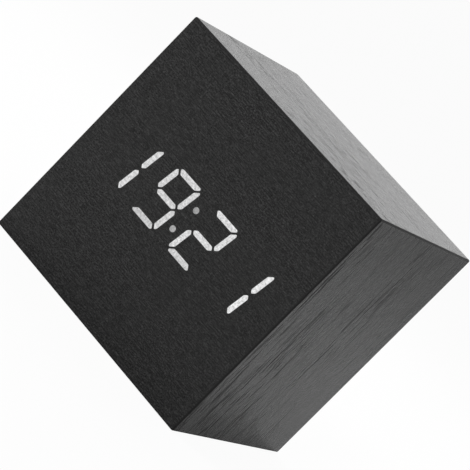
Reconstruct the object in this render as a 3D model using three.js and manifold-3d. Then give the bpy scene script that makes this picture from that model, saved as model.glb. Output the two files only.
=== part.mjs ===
// Wooden digital alarm clock: a veneered box with a four-digit display that shines through its front,
// a moulded back cover with a battery bay and door, three push buttons and a power socket.
// Millimetres. X runs to the right of someone who reads the time, Y to the back and Z up.
// The origin is the middle of the footprint, on the surface that the clock stands on.

import * as THREE from 'three';
import { mergeVertices } from 'three/addons/utils/BufferGeometryUtils.js';
import { RoundedBoxGeometry } from 'three/addons/geometries/RoundedBoxGeometry.js';
import Module from 'manifold-3d';

const wasm = await Module();
wasm.setup();

// Wooden case
const caseWidth = 63;
const caseHeight = 63;
const caseDepth = 60;
const wallThickness = 5;
const veneerThickness = 0.5;
const edgeRadius = 0.4;
const glueLine = 0.05;
const cornerBlockSize = 7;
const cornerBlockLength = 14;
const cornerBlockChamfer = 2;

// Clearances that more than one piece uses
const seatGap = 0.05;
const screwFit = 0.1;
const cutOverrun = 1;
const snapGrid = 1e-4;

// Display
const timeShown = '1921';
const digitHeight = 14.15;
const digitWidth = 8.2;
const digitPitch = 12.7;
const segmentWidth = 1.35;
const segmentGap = 0.48;
const segmentCornerCut = 1.12;
const slantAngle = THREE.MathUtils.degToRad(8.45);
const colonDotDiameter = 1.52;
const colonDotSpacing = 6.4;
const displayShiftX = -0.3;
const displayShiftZ = 0.2;
const lensFit = 0.05;
const lensBacking = 0.4;
const lensMargin = 0.6;
const colonBackingWidth = 2.7;
const filmThickness = 0.3;
const frameWidth = 50;
const frameHeight = 18;
const frameFit = 0.3;
const cavityTaperShare = 0.8;
const pegDiameter = 1.2;
const pegHead = 0.5;
const pegFit = 0.15;
const pegSpacingShares = [-0.4, 0.4];

// Display board and what it carries
const boardThickness = 1.6;
const displayBoardWidth = 51.5;
const displayBoardHeight = 30;
const displayBoardCorner = 1;
const displayScrewInset = 2.6;
const ledLength = 1.6;
const ledWidth = 0.8;
const ledHeight = 0.7;
const jointSink = 0.2;
const chipLength = 10;
const chipWidth = 5.4;
const chipHeight = 1.5;
const chipLegs = 8;
const chipLegPitch = 1.2;
const chipLegWidth = 0.4;
const chipLegReach = 1;
const chipLegThickness = 0.25;
const chipShiftX = -9.7;
const chipShiftZ = -1.7;
const buzzerDiameter = 12;
const buzzerHeight = 8.5;
const buzzerMouth = 2.4;
const buzzerMouthDepth = 2;
const buzzerBevel = 0.6;
const buzzerShiftX = 14.3;
const buzzerShiftZ = -2.7;

// Cells
const cellDiameter = 10.5;
const cellLength = 44.5;
const cellShoulder = 0.5;
const cellNubDiameter = 3.8;
const cellNubHeight = 1;
const cellNubRadius = 0.3;
const cellPitch = 10.9;
const cellFit = 0.2;
const troughRibTrim = 1;

// Contacts of the battery bay
const contactThickness = 0.4;
const contactSize = 8.4;
const contactCorner = 0.8;
const tailWidth = 1.6;
const tailReach = 2;
const tailFit = 0.3;
const springRoom = 2.75;
const springWire = 0.45;
const springTurns = 3;
const springBaseDiameter = 7.6;
const springTipDiameter = 3.4;
const leastSpringGap = 0.4;

// Back cover
const coverThickness = 2;
const coverRecess = 1;
const coverFit = 0.2;
const coverCorner = 1.2;
const bayWall = 1.2;
const doorDrop = 10.05;
const doorLedge = 0.5;
const ledgeThickness = 0.5;
const doorFit = 0.2;
const doorThickness = 1.4;
const doorCorner = 0.8;
const doorCellGap = 0.3;
const soundHoleDiameter = 1.2;
const soundHoleSpacing = 2;
const soundHoleCount = 6;
const soundHolePlaceShare = 0.5;

// Hooks at the door's top edge
const hookSpacing = 22;
const hookWidth = 5;
const hookThickness = 1.1;
const hookReach = 2.65;
const hookNeck = 1.2;
const hookGap = 0.2;
const hookSideFit = 0.3;
const hookSwing = 1.3;

// Latch at the door's bottom edge: a U-shaped spring whose outer leg carries the nib
const latchWidth = 9;
const latchLeg = 0.9;
const latchLegSpacing = 2;
const latchDepth = 5.6;
const latchTongue = 1.9;
const latchSideFit = 0.5;
const nibEdgeGap = 0.25;
const latchSplit = 0.3;
const nibReach = 0.6;
const nibLength = 2.3;
const nibFlat = 0.5;
const nibGap = 0.15;
const pocketWall = 1;
const pocketRoom = 0.5;
const pocketDrop = 0.5;
const gripGrooves = 4;
const gripGrooveWidth = 0.6;
const gripGroovePitch = 1.4;
const gripGrooveDepth = 0.3;
const gripGrooveLength = 14;
const gripGrooveRise = 2.2;
const thumbScoopRadius = 2.8;
const thumbScoopDepth = 0.8;

// Button row
const buttonNames = ['set', 'down', 'up'];
const buttonHoleDiameter = 5;
const buttonFit = 0.2;
const buttonFlange = 0.5;
const buttonFlangeThickness = 0.8;
const buttonFlangeGap = 0.15;
const buttonProud = 0.6;
const buttonDish = 0.15;
const buttonEdge = 0.3;
const buttonStemDiameter = 2.6;
const buttonStemLength = 1.15;
const buttonPitch = 7;
const buttonRowX = 3.6;
const buttonRowDrop = 3.9;
const switchSize = 6;
const switchHeight = 3.4;
const switchCorner = 0.4;
const switchBoreDiameter = 3.7;
const switchBoreDepth = 1.3;
const plungerDiameter = 3.4;
const plungerRise = 1.5;
const plungerSunk = 0.65;
const plungerTipBevel = 0.2;

// Button board and what it carries
const buttonBoardHeight = 7.6;
const buttonBoardFit = 0.3;
const buttonBoardCorner = 0.5;
const bossDiameter = 3.6;
const bossInset = 1.95;
const socketX = -11.2;
const socketWidth = 7.4;
const socketHeight = 2.7;
const socketSheet = 0.3;
const socketBevel = 0.7;
const socketLength = 8.5;
const socketTongueWidth = 3.6;
const socketTongueThickness = 0.6;
const socketTongueSetback = 0.8;
const socketFit = 0.3;
const microphoneDiameter = 5.8;
const microphoneHeight = 2.6;
const microphoneMouth = 2;
const microphoneMouthDepth = 0.4;
const microphoneX = 10.4;

// Screws
const coverScrewHead = 3.8;
const coverScrewHeadHeight = 1.2;
const coverScrewShank = 2;
const coverScrewLength = 9;
const coverScrewSlot = 2.2;
const coverScrewSlotWidth = 0.5;
const boardScrewHead = 3;
const boardScrewHeadHeight = 1;
const boardScrewShank = 1.6;
const boardScrewLength = 6;
const boardScrewSlot = 1.7;
const boardScrewSlotWidth = 0.4;
const headFit = 0.2;
const slotDepthShare = 0.6;
const headCrownShare = 0.35;
const headFaceShare = 0.7;
const pointShare = 0.8;

// Wires: each route starts and ends at its solder joints, and the shares between are chosen by hand
const leadDiameter = 1.2;
const leadStraight = 1.4;
const leadGap = 0.1;
const leadSteps = 20;
const leadInset = 5;
const leadPositiveShares = [[0.1, -0.66, 0.16], [0.4, -0.74, 0.52], [0.8, -0.4, 0.86]];
const leadNegativeShares = [[0.14, -0.52, 0.24], [0.6, -0.3, 0.72]];
const ribbonWidth = 11;
const ribbonThickness = 0.9;
const ribbonRise = 11.4;
const ribbonSteps = 20;
const ribbonShares = [[0.07, 0], [0.22, 0.18], [0.46, 0.74], [0.76, 1.04], [0.93, 1]];

// Number of flats round a full turn, by the size of the piece
const fineSides = 24;
const plainSides = 16;
const smallSides = 12;
const wireSides = 8;
const springSides = 5;
const springStepsPerTurn = 8;
const roundingSteps = 2;
const bendSteps = 3;

// Places that follow from the sizes
const faceY = -caseDepth / 2;
const backY = caseDepth / 2;
const cavityHalf = caseWidth / 2 - wallThickness;
const cavityFloor = wallThickness;
const cavityTop = caseHeight - wallThickness;
const cavityFrontY = faceY + wallThickness;

const displayX = displayShiftX;
const displayZ = caseHeight / 2 + displayShiftZ;
const lensFrontY = faceY + veneerThickness + glueLine;
const lensBackY = lensFrontY + lensBacking;
const filmFrontY = lensBackY + seatGap;
const frameFrontY = filmFrontY + filmThickness + seatGap;
const displayBoardFrontY = cavityFrontY + seatGap;
const displayBoardBackY = displayBoardFrontY + boardThickness;
const frameBackY = displayBoardFrontY - seatGap;
const slant = Math.tan(slantAngle);

const coverOuterY = backY - coverRecess;
const coverInnerY = coverOuterY - coverThickness;
const coverHalf = cavityHalf - coverFit;
const coverBottom = cavityFloor + coverFit;
const coverTop = cavityTop - coverFit;
const coverMiddleZ = (coverTop + coverBottom) / 2;

const doorInnerY = coverOuterY - doorThickness;
const ledgeY = coverInnerY + ledgeThickness;
const cellY = doorInnerY - doorCellGap - cellDiameter / 2;
const troughRadius = cellDiameter / 2 + cellFit;
const bayFloorY = cellY - troughRadius;
const bayLength = cellLength + springRoom + 2 * contactThickness + 3 * seatGap;
const bayHeight = 2 * cellPitch + 2 * troughRadius;
const doorWidth = bayLength + 2 * doorLedge;
const doorHeight = bayHeight + 2 * doorLedge;
const doorTop = coverTop - doorDrop;
const doorBottom = doorTop - doorHeight;
const bayZ = (doorTop + doorBottom) / 2;
const contactX = bayLength / 2 - seatGap - contactThickness / 2;
const cellRowZ = [-1, 0, 1].map((row) => bayZ + row * cellPitch);

const latchFixedLegBottom = doorBottom - latchTongue;
const latchFreeLegBottom = latchFixedLegBottom - latchLegSpacing - latchLeg;
const latchPivotY = doorInnerY - latchDepth;
const latchPivotZ = latchFixedLegBottom - latchLegSpacing / 2;
const latchOpeningBottom = latchFreeLegBottom - nibReach - nibEdgeGap;
const latchOpeningHalf = latchWidth / 2 + latchSideFit;

const buttonZ = coverTop - buttonRowDrop;
const plungerTopY = coverInnerY - buttonFlangeGap - buttonFlangeThickness - buttonStemLength - seatGap;
const switchTopY = plungerTopY - plungerRise;
const buttonBoardOuterY = switchTopY - switchHeight - seatGap;
const buttonBoardInnerY = buttonBoardOuterY - boardThickness;
const cornerBlockInnerX = cavityHalf - glueLine - cornerBlockSize;
const buttonBoardHalf = cornerBlockInnerX - buttonBoardFit;
const bossX = buttonBoardHalf - bossInset;
const cornerScrewInset = glueLine + cornerBlockSize / 2;
const cornerScrewX = cavityHalf - cornerScrewInset;
const cornerScrewZ = [cavityFloor + cornerScrewInset, cavityTop - cornerScrewInset];

// Finishes: the colour, roughness and metalness of each material
const finishes = {
  veneer: [0x2b2a29, 0.5, 0],
  fibreboard: [0x8a6a48, 0.9, 0],
  litLens: [0xf2f4f4, 0.4, 0],
  film: [0xe6e6e2, 0.6, 0],
  whitePlastic: [0xdcdcd6, 0.5, 0],
  board: [0x1d5a34, 0.5, 0],
  blackPlastic: [0x1b1b1c, 0.55, 0],
  chipPlastic: [0x202022, 0.6, 0],
  nickel: [0xb9babc, 0.3, 1],
  steel: [0x9a9ca0, 0.35, 1],
  cellSleeve: [0x3c5f86, 0.4, 0.2],
  buttonPlastic: [0x2a2a2b, 0.5, 0],
  redWire: [0xb02a22, 0.5, 0],
  blackWire: [0x202020, 0.5, 0],
  greyRibbon: [0x9a9c9e, 0.6, 0],
};

function finish(name) {
  const [color, roughness, metalness] = finishes[name];
  return new THREE.MeshStandardMaterial({ color, roughness, metalness });
}

// Solids: joins and cuts of closed geometries. Corners are snapped to a fine grid, so that faces meant to
// lie in one plane do, whichever way their places were worked out.

function toSolid(geometry) {
  const bare = geometry.clone();
  bare.deleteAttribute('normal');
  bare.deleteAttribute('uv');
  const merged = mergeVertices(bare);
  const places = merged.attributes.position.array.map((value) => Math.round(value / snapGrid) * snapGrid);
  const corners = merged.index.array;
  const triangles = [];
  for (let i = 0; i < corners.length; i += 3) {
    const [a, b, c] = corners.slice(i, i + 3);
    if (a !== b && b !== c && c !== a) triangles.push(a, b, c);
  }
  return new wasm.Manifold(new wasm.Mesh({
    numProp: 3,
    vertProperties: places,
    triVerts: new Uint32Array(triangles),
  }));
}

function toGeometry(solid) {
  const mesh = solid.getMesh();
  const geometry = new THREE.BufferGeometry();
  geometry.setAttribute('position', new THREE.BufferAttribute(mesh.vertProperties, 3));
  geometry.setIndex(new THREE.BufferAttribute(mesh.triVerts, 1));
  geometry.computeVertexNormals();
  return geometry;
}

function joinAll(geometries) {
  return toGeometry(geometries.map(toSolid).reduce((whole, piece) => whole.add(piece)));
}

function cutAll(body, tools) {
  return toGeometry(tools.map(toSolid).reduce((rest, tool) => rest.subtract(tool), toSolid(body)));
}

function common(first, second) {
  return toGeometry(toSolid(first).intersect(toSolid(second)));
}

// Forms that the pieces are made from

function span(a, b) {
  return [Math.min(a, b), Math.max(a, b)];
}

function block(x0, x1, y0, y1, z0, z1) {
  const geometry = new THREE.BoxGeometry(x1 - x0, y1 - y0, z1 - z0);
  return geometry.translate((x0 + x1) / 2, (y0 + y1) / 2, (z0 + z1) / 2);
}

// An outline drawn in X and Z, from one Y to another
function slabAlongY(shape, y0, y1, curveSegments = 1) {
  const geometry = new THREE.ExtrudeGeometry(shape, { depth: y1 - y0, bevelEnabled: false, curveSegments });
  const turn = new THREE.Matrix4().makeBasis(
    new THREE.Vector3(1, 0, 0), new THREE.Vector3(0, 0, 1), new THREE.Vector3(0, -1, 0));
  return geometry.applyMatrix4(turn).translate(0, y1, 0);
}

// An outline drawn in Y and Z, from one X to another
function slabAlongX(shape, x0, x1, curveSegments = 1) {
  const geometry = new THREE.ExtrudeGeometry(shape, { depth: x1 - x0, bevelEnabled: false, curveSegments });
  const turn = new THREE.Matrix4().makeBasis(
    new THREE.Vector3(0, 1, 0), new THREE.Vector3(0, 0, 1), new THREE.Vector3(1, 0, 0));
  return geometry.applyMatrix4(turn).translate(x0, 0, 0);
}

function roundedOutline(width, height, radius, centreX = 0, centreZ = 0) {
  const x = width / 2 - radius;
  const z = height / 2 - radius;
  const shape = new THREE.Shape();
  shape.absarc(centreX + x, centreZ - z, radius, -Math.PI / 2, 0);
  shape.absarc(centreX + x, centreZ + z, radius, 0, Math.PI / 2);
  shape.absarc(centreX - x, centreZ + z, radius, Math.PI / 2, Math.PI);
  shape.absarc(centreX - x, centreZ - z, radius, Math.PI, Math.PI * 3 / 2);
  shape.closePath();
  return shape;
}

function outline(points) {
  return new THREE.Shape(points.map(([u, v]) => new THREE.Vector2(u, v)));
}

function rodAlongY(diameter, x, z, y0, y1, sides = smallSides) {
  const rod = new THREE.CylinderGeometry(diameter / 2, diameter / 2, y1 - y0, sides);
  return rod.translate(x, (y0 + y1) / 2, z);
}

function rodAlongX(diameter, y, z, x0, x1, sides = fineSides) {
  const rod = new THREE.CylinderGeometry(diameter / 2, diameter / 2, x1 - x0, sides);
  return rod.rotateZ(Math.PI / 2).translate((x0 + x1) / 2, y, z);
}

// A profile of radius and Y, from the axis at its lowest Y to the axis at its highest
function turned(profile, sides) {
  return new THREE.LatheGeometry(profile.map(([radius, y]) => new THREE.Vector2(radius, y)), sides);
}

function ring(diameter, sides, centreU = 0, centreV = 0) {
  const points = [];
  for (let i = 0; i < sides; i += 1) {
    const angle = Math.PI * 2 * i / sides;
    points.push([centreU + diameter / 2 * Math.cos(angle), centreV + diameter / 2 * Math.sin(angle)]);
  }
  return points;
}

function wire(points, diameter, steps, sides) {
  const path = new THREE.CatmullRomCurve3(points.map((place) => new THREE.Vector3(...place)));
  return new THREE.ExtrudeGeometry(outline(ring(diameter, sides)), { steps, extrudePath: path });
}

// Wooden case: every panel and veneer is a layer of one box, mitred where it meets the next face

const caseSides = {
  front: new THREE.Vector3(0, -1, 0),
  top: new THREE.Vector3(0, 0, 1),
  bottom: new THREE.Vector3(0, 0, -1),
  left: new THREE.Vector3(-1, 0, 0),
  right: new THREE.Vector3(1, 0, 0),
};

function caseEnvelope() {
  const box = new RoundedBoxGeometry(caseWidth, caseDepth, caseHeight, roundingSteps, edgeRadius);
  return box.translate(0, 0, caseHeight / 2);
}

function mitredLayer(normal, outerDepth, innerDepth) {
  const layer = new THREE.BoxGeometry(1, 1, 1);
  const corners = layer.attributes.position;
  const insetX = normal.x ? 0 : glueLine / 2;
  const insetY = normal.y ? 0 : glueLine / 2;
  const insetZ = normal.z ? 0 : glueLine / 2;
  for (let i = 0; i < corners.count; i += 1) {
    const corner = new THREE.Vector3().fromBufferAttribute(corners, i);
    const depth = corner.dot(normal) > 0 ? outerDepth : innerDepth;
    const x = (normal.x || Math.sign(corner.x)) * (caseWidth / 2 - depth - insetX);
    const y = normal.y || corner.y < 0 ? faceY + depth + insetY : backY;
    const z = (normal.z || corner.z) < 0 ? depth + insetZ : caseHeight - depth - insetZ;
    corners.setXYZ(i, x, y, z);
  }
  return layer;
}

function veneer(side) {
  return common(mitredLayer(caseSides[side], 0, veneerThickness), caseEnvelope());
}

function panel(side) {
  return common(mitredLayer(caseSides[side], veneerThickness + glueLine, wallThickness), caseEnvelope());
}

function displayWindow() {
  const width = frameWidth + 2 * frameFit;
  const height = frameHeight + 2 * frameFit;
  return block(
    displayX - width / 2, displayX + width / 2, faceY, cavityFrontY + cutOverrun,
    displayZ - height / 2, displayZ + height / 2);
}

function displayScrewPlaces() {
  const x = displayBoardWidth / 2 - displayScrewInset;
  const z = displayBoardHeight / 2 - displayScrewInset;
  return [[displayX - x, displayZ + z], [displayX + x, displayZ - z]];
}

function frontPanel() {
  const depth = boardScrewLength - boardThickness - seatGap;
  const holes = displayScrewPlaces().map(([x, z]) => rodAlongY(
    boardScrewShank + 2 * screwFit, x, z, cavityFrontY - depth + 2 * seatGap, cavityFrontY + cutOverrun));
  return cutAll(panel('front'), [displayWindow(), ...holes]);
}

// A stick of wood glued into a corner of the case, with a pilot hole for a cover screw.
// It is drawn for the upper right corner, from the middle of the case, and mirrored for the others.
function cornerBlock(signX, signZ) {
  const innerX = cornerBlockInnerX;
  const outerX = innerX + cornerBlockSize;
  const outerZ = cavityTop - glueLine - caseHeight / 2;
  const innerZ = outerZ - cornerBlockSize;
  const points = [
    [innerX + cornerBlockChamfer, innerZ], [outerX, innerZ], [outerX, outerZ], [innerX, outerZ],
    [innerX, innerZ + cornerBlockChamfer],
  ].map(([x, z]) => [x * signX, caseHeight / 2 + z * signZ]);
  const y1 = coverInnerY - seatGap;
  const stick = slabAlongY(outline(points), y1 - cornerBlockLength, y1);
  const holeZ = caseHeight / 2 + (outerZ - cornerBlockSize / 2) * signZ;
  const holeEnd = coverOuterY - coverScrewLength - 2 * seatGap;
  return cutAll(stick, [
    rodAlongY(coverScrewShank + 2 * screwFit, cornerScrewX * signX, holeZ, holeEnd, y1 + cutOverrun),
  ]);
}

// Display: seven segments with mitred ends, slanted to the right

function segmentOutlines() {
  const x = digitWidth / 2;
  const z = digitHeight / 2;
  const inner = x - segmentWidth;
  const shift = segmentGap / Math.SQRT2;
  const half = segmentWidth / 2;
  const tipX = x - (segmentCornerCut + shift) / 2;
  const tipZ = z - (segmentCornerCut - shift) / 2;
  const top = [
    [inner - shift, z - segmentWidth], [tipX, tipZ], [x - segmentCornerCut, z],
    [segmentCornerCut - x, z], [-tipX, tipZ], [shift - inner, z - segmentWidth],
  ];
  const sideTipX = x - (segmentCornerCut - shift) / 2;
  const sideTipZ = z - (segmentCornerCut + shift) / 2;
  const upperRight = [
    [x, half + shift], [x, z - segmentCornerCut], [sideTipX, sideTipZ],
    [inner, z - segmentWidth - shift], [inner, half + shift], [x - half, shift],
  ];
  const middle = [
    [inner - shift, -half], [x - half - shift, 0], [inner - shift, half],
    [shift - inner, half], [shift + half - x, 0], [shift - inner, -half],
  ];
  const mirrored = (points, signX, signZ) => {
    const copy = points.map(([u, v]) => [u * signX, v * signZ]);
    return signX * signZ < 0 ? copy.reverse() : copy;
  };
  return {
    a: top,
    b: upperRight,
    c: mirrored(upperRight, 1, -1),
    d: mirrored(top, 1, -1),
    e: mirrored(upperRight, -1, -1),
    f: mirrored(upperRight, -1, 1),
    g: middle,
  };
}

const litSegments = { 1: 'bc', 2: 'abdeg', 9: 'abcdfg' };

function digitCentreX(place) {
  return displayX + (place - (timeShown.length - 1) / 2) * digitPitch;
}

// The outlines of some of a digit's segments, slanted and put in their place on the face
function placedSegments(letters, place) {
  const shapes = segmentOutlines();
  return [...letters].map((letter) => shapes[letter].map(
    ([x, z]) => [digitCentreX(place) + x + z * slant, displayZ + z]));
}

function dotOutline(sign) {
  const z = sign * colonDotSpacing / 2;
  return ring(colonDotDiameter, plainSides, displayX + z * slant, displayZ + z);
}

const dotOutlines = () => [dotOutline(-1), dotOutline(1)];

// The same outline with every edge moved outwards by a margin
function grown(points, margin) {
  const corners = points.map(([u, v]) => new THREE.Vector2(u, v));
  const edgeNormals = corners.map((corner, i) => {
    const edge = corners[(i + 1) % corners.length].clone().sub(corner).normalize();
    return new THREE.Vector2(edge.y, -edge.x);
  });
  return corners.map((corner, i) => {
    const before = edgeNormals[(i + corners.length - 1) % corners.length];
    const after = edgeNormals[i];
    const reach = margin / (1 + before.dot(after));
    return corner.clone().add(before.clone().add(after).multiplyScalar(reach)).toArray();
  });
}

function middleOf(points) {
  const total = points.reduce((sum, [u, v]) => [sum[0] + u, sum[1] + v], [0, 0]);
  return total.map((value) => value / points.length);
}

// A straight-sided loft between an outline and the same outline drawn smaller
function taperedCavity(points, taper, y0, y1) {
  const [middleX, middleZ] = middleOf(points);
  const far = points.map(([x, z]) => [middleX + (x - middleX) * taper, middleZ + (z - middleZ) * taper]);
  const vertices = [...points.map(([x, z]) => [x, y0, z]), ...far.map(([x, z]) => [x, y1, z])];
  const count = points.length;
  const triangles = [];
  for (let i = 0; i < count; i += 1) {
    const next = (i + 1) % count;
    triangles.push(i, count + i, next, next, count + i, count + next);
  }
  for (let i = 1; i < count - 1; i += 1) {
    triangles.push(0, i, i + 1, count, count + i + 1, count + i);
  }
  const geometry = new THREE.BufferGeometry();
  geometry.setAttribute('position', new THREE.Float32BufferAttribute(vertices.flat(), 3));
  geometry.setIndex(triangles);
  return geometry;
}

function litOutlines() {
  const digits = [...timeShown].flatMap((figure, place) => placedSegments(litSegments[figure], place));
  return [...digits, ...dotOutlines()];
}

function frontVeneer() {
  const openings = litOutlines().map(
    (points) => slabAlongY(outline(grown(points, lensFit)), faceY - cutOverrun, lensFrontY + cutOverrun));
  return cutAll(veneer('front'), openings);
}

// A light guide: raised segments that fill the veneer's openings, on one slanted backing
function lens(outlines, centreX, width, height) {
  const x = width / 2;
  const z = height / 2;
  const square = [[-x, -z], [x, -z], [x, z], [-x, z]];
  const backing = square.map(([u, v]) => [centreX + u + v * slant, displayZ + v]);
  return joinAll([
    slabAlongY(outline(backing), lensFrontY, lensBackY),
    ...outlines.map((points) => slabAlongY(outline(points), faceY, lensFrontY + lensBacking / 2)),
  ]);
}

function digitLens(place) {
  const outlines = placedSegments(litSegments[timeShown[place]], place);
  return lens(outlines, digitCentreX(place), digitWidth + 2 * lensMargin, digitHeight + 2 * lensMargin);
}

function colonLens() {
  const height = colonDotSpacing + colonDotDiameter + 2 * lensMargin;
  return lens(dotOutlines(), displayX, colonBackingWidth, height);
}

function diffuserFilm() {
  return block(
    displayX - frameWidth / 2, displayX + frameWidth / 2, filmFrontY, filmFrontY + filmThickness,
    displayZ - frameHeight / 2, displayZ + frameHeight / 2);
}

function pegPlaces() {
  const gutter = (frameHeight / 2 + digitHeight / 2) / 2;
  return pegSpacingShares.flatMap(
    (share) => [-1, 1].map((sign) => [displayX + share * frameWidth, displayZ + sign * gutter]));
}

const allPlaces = [...timeShown].map((figure, place) => place);

// The segment frame is the light box: one tapered cavity for each of the digits' segments
function segmentFrame() {
  const body = block(
    displayX - frameWidth / 2, displayX + frameWidth / 2, frameFrontY, frameBackY,
    displayZ - frameHeight / 2, displayZ + frameHeight / 2);
  const pegEnd = displayBoardBackY + pegHead;
  const pegs = pegPlaces().map(
    ([x, z]) => rodAlongY(pegDiameter, x, z, frameBackY - jointSink, pegEnd, wireSides));
  const outlines = [...allPlaces.flatMap((place) => placedSegments('abcdefg', place)), ...dotOutlines()];
  const slope = (1 - cavityTaperShare) * cutOverrun / (frameBackY - frameFrontY);
  const cavities = outlines.map((points) => {
    const [middleX, middleZ] = middleOf(points);
    const wide = points.map(
      ([x, z]) => [middleX + (x - middleX) * (1 + slope), middleZ + (z - middleZ) * (1 + slope)]);
    const taper = (cavityTaperShare - slope) / (1 + slope);
    return taperedCavity(wide, taper, frameFrontY - cutOverrun, frameBackY + cutOverrun);
  });
  return cutAll(joinAll([body, ...pegs]), cavities);
}

// One light-emitting diode behind every segment and dot, lying along it
function diodes() {
  const upright = 'bcef';
  const places = allPlaces.flatMap((place) => [...'abcdefg'].map((letter) => {
    const [x, z] = middleOf(placedSegments(letter, place)[0]);
    return { x, z, tall: upright.includes(letter) };
  }));
  const dots = dotOutlines().map((points) => {
    const [x, z] = middleOf(points);
    return { x, z, tall: false, short: true };
  });
  return [...places, ...dots].map(({ x, z, tall, short }) => {
    const long = short ? ledWidth : ledLength;
    const width = tall ? ledWidth : long;
    const height = tall ? long : ledWidth;
    return block(
      x - width / 2, x + width / 2, displayBoardFrontY - ledHeight, displayBoardFrontY + jointSink,
      z - height / 2, z + height / 2);
  });
}

function displayBoard() {
  const sheet = slabAlongY(
    roundedOutline(displayBoardWidth, displayBoardHeight, displayBoardCorner, displayX, displayZ),
    displayBoardFrontY, displayBoardBackY);
  const y0 = displayBoardFrontY - cutOverrun;
  const y1 = displayBoardBackY + cutOverrun;
  const holes = [
    ...displayScrewPlaces().map(([x, z]) => rodAlongY(boardScrewShank + 2 * screwFit, x, z, y0, y1)),
    ...pegPlaces().map(([x, z]) => rodAlongY(pegDiameter + 2 * pegFit, x, z, y0, y1, wireSides)),
  ];
  return joinAll([cutAll(sheet, holes), ...diodes()]);
}

function controllerChip() {
  const y0 = displayBoardBackY + seatGap;
  const x = displayX + chipShiftX;
  const z = displayZ + chipShiftZ;
  const lift = chipLegThickness;
  const body = block(
    x - chipLength / 2, x + chipLength / 2, y0 + lift, y0 + chipHeight,
    z - chipWidth / 2, z + chipWidth / 2);
  const legs = [];
  for (let i = 0; i < chipLegs; i += 1) {
    const legX = x + (i - (chipLegs - 1) / 2) * chipLegPitch;
    for (const sign of [-1, 1]) {
      const root = z + sign * (chipWidth / 2 - jointSink);
      const toe = z + sign * (chipWidth / 2 + chipLegReach);
      const ankle = z + sign * (chipWidth / 2 + chipLegThickness);
      const x0 = legX - chipLegWidth / 2;
      const x1 = legX + chipLegWidth / 2;
      const middle = y0 + chipHeight / 2;
      legs.push(
        block(x0, x1, middle, middle + chipLegThickness, ...span(root, ankle)),
        block(x0, x1, y0, middle + chipLegThickness, ...span(ankle - sign * chipLegThickness, ankle)),
        block(x0, x1, y0, y0 + chipLegThickness, ...span(ankle - sign * chipLegThickness, toe)));
    }
  }
  return joinAll([body, ...legs]);
}

function buzzer() {
  const radius = buzzerDiameter / 2;
  const y0 = displayBoardBackY + seatGap;
  const y1 = y0 + buzzerHeight;
  const can = turned([
    [0, y0], [radius, y0], [radius, y1 - buzzerBevel], [radius - buzzerBevel, y1],
    [buzzerMouth / 2, y1], [buzzerMouth / 2, y1 - buzzerMouthDepth], [0, y1 - buzzerMouthDepth],
  ], fineSides);
  return can.translate(displayX + buzzerShiftX, 0, displayZ + buzzerShiftZ);
}

// The ribbon's edge is a band along its route, drawn in Y and Z and given the ribbon's width along X
function ribbonCable() {
  const start = [displayBoardBackY + seatGap, displayZ + ribbonRise];
  const end = [buttonBoardInnerY - seatGap, buttonZ];
  const between = ribbonShares.map(([shareY, shareZ]) => [
    THREE.MathUtils.lerp(start[0], end[0], shareY), THREE.MathUtils.lerp(start[1], end[1], shareZ),
  ]);
  const route = new THREE.CatmullRomCurve3(
    [start, ...between, end].map(([y, z]) => new THREE.Vector3(y, z, 0)));
  const near = [];
  const far = [];
  for (let i = 0; i <= ribbonSteps; i += 1) {
    const share = i / ribbonSteps;
    const place = route.getPointAt(share);
    const along = route.getTangentAt(share);
    const offset = ribbonThickness / 2;
    near.push([place.x + along.y * offset, place.y - along.x * offset]);
    far.unshift([place.x - along.y * offset, place.y + along.x * offset]);
  }
  return slabAlongX(outline([...near, ...far]), -ribbonWidth / 2, ribbonWidth / 2);
}

// Back cover: one moulding with the battery bay, the latch pocket and the bosses of the button board

function hookPlaces() {
  return [-hookSpacing / 2, hookSpacing / 2];
}

function bayTools() {
  const x = bayLength / 2;
  const z0 = bayZ - bayHeight / 2;
  const z1 = bayZ + bayHeight / 2;
  const contactRoom = contactThickness + 2 * seatGap;
  const opening = slabAlongY(
    roundedOutline(doorWidth + 2 * doorFit, doorHeight + 2 * doorFit, doorCorner + doorFit, 0, bayZ),
    ledgeY, coverOuterY + cutOverrun);
  const troughs = cellRowZ.map((z) => rodAlongX(2 * troughRadius, cellY, z, -x, x));
  const ends = [-1, 1].map((sign) => block(
    ...span(sign * x, sign * (x - contactRoom)), cellY - contactSize / 2 - cellFit, cellY,
    z0 + troughRadius - contactSize / 2 - cellFit, z1 - troughRadius + contactSize / 2 + cellFit));
  const tails = [[1, cellRowZ[0]], [-1, cellRowZ[2]]].map(([sign, z]) => block(
    ...span(sign * x, sign * (x - contactRoom)), bayFloorY - bayWall - cutOverrun, cellY,
    z - tailWidth / 2 - tailFit, z + tailWidth / 2 + tailFit));
  const bay = block(-x, x, cellY, ledgeY + cutOverrun / 2, z0, z1);
  const ribs = block(-x, x, cellY - troughRibTrim, cellY, cellRowZ[0], cellRowZ[2]);
  return [opening, bay, ribs, ...troughs, ...ends, ...tails];
}

function hookNotches() {
  const half = hookWidth / 2 + hookSideFit;
  const z0 = doorTop - hookNeck - hookSideFit;
  const z1 = bayZ + bayHeight / 2 + bayWall + cutOverrun;
  const y0 = coverInnerY - hookGap - hookThickness - hookSwing;
  return hookPlaces().flatMap((x) => [
    block(x - half, x + half, y0, coverInnerY, z0, z1),
    block(x - half, x + half, y0, ledgeY + cutOverrun / 2, z0, doorTop + doorFit),
  ]);
}

function pocketBox(grow, y1) {
  const half = latchOpeningHalf + grow;
  const y0 = latchPivotY - latchLegSpacing / 2 - latchLeg - pocketRoom - grow;
  return block(-half, half, y0, y1, latchOpeningBottom - pocketDrop - grow, bayZ - bayHeight / 2 - bayWall);
}

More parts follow.
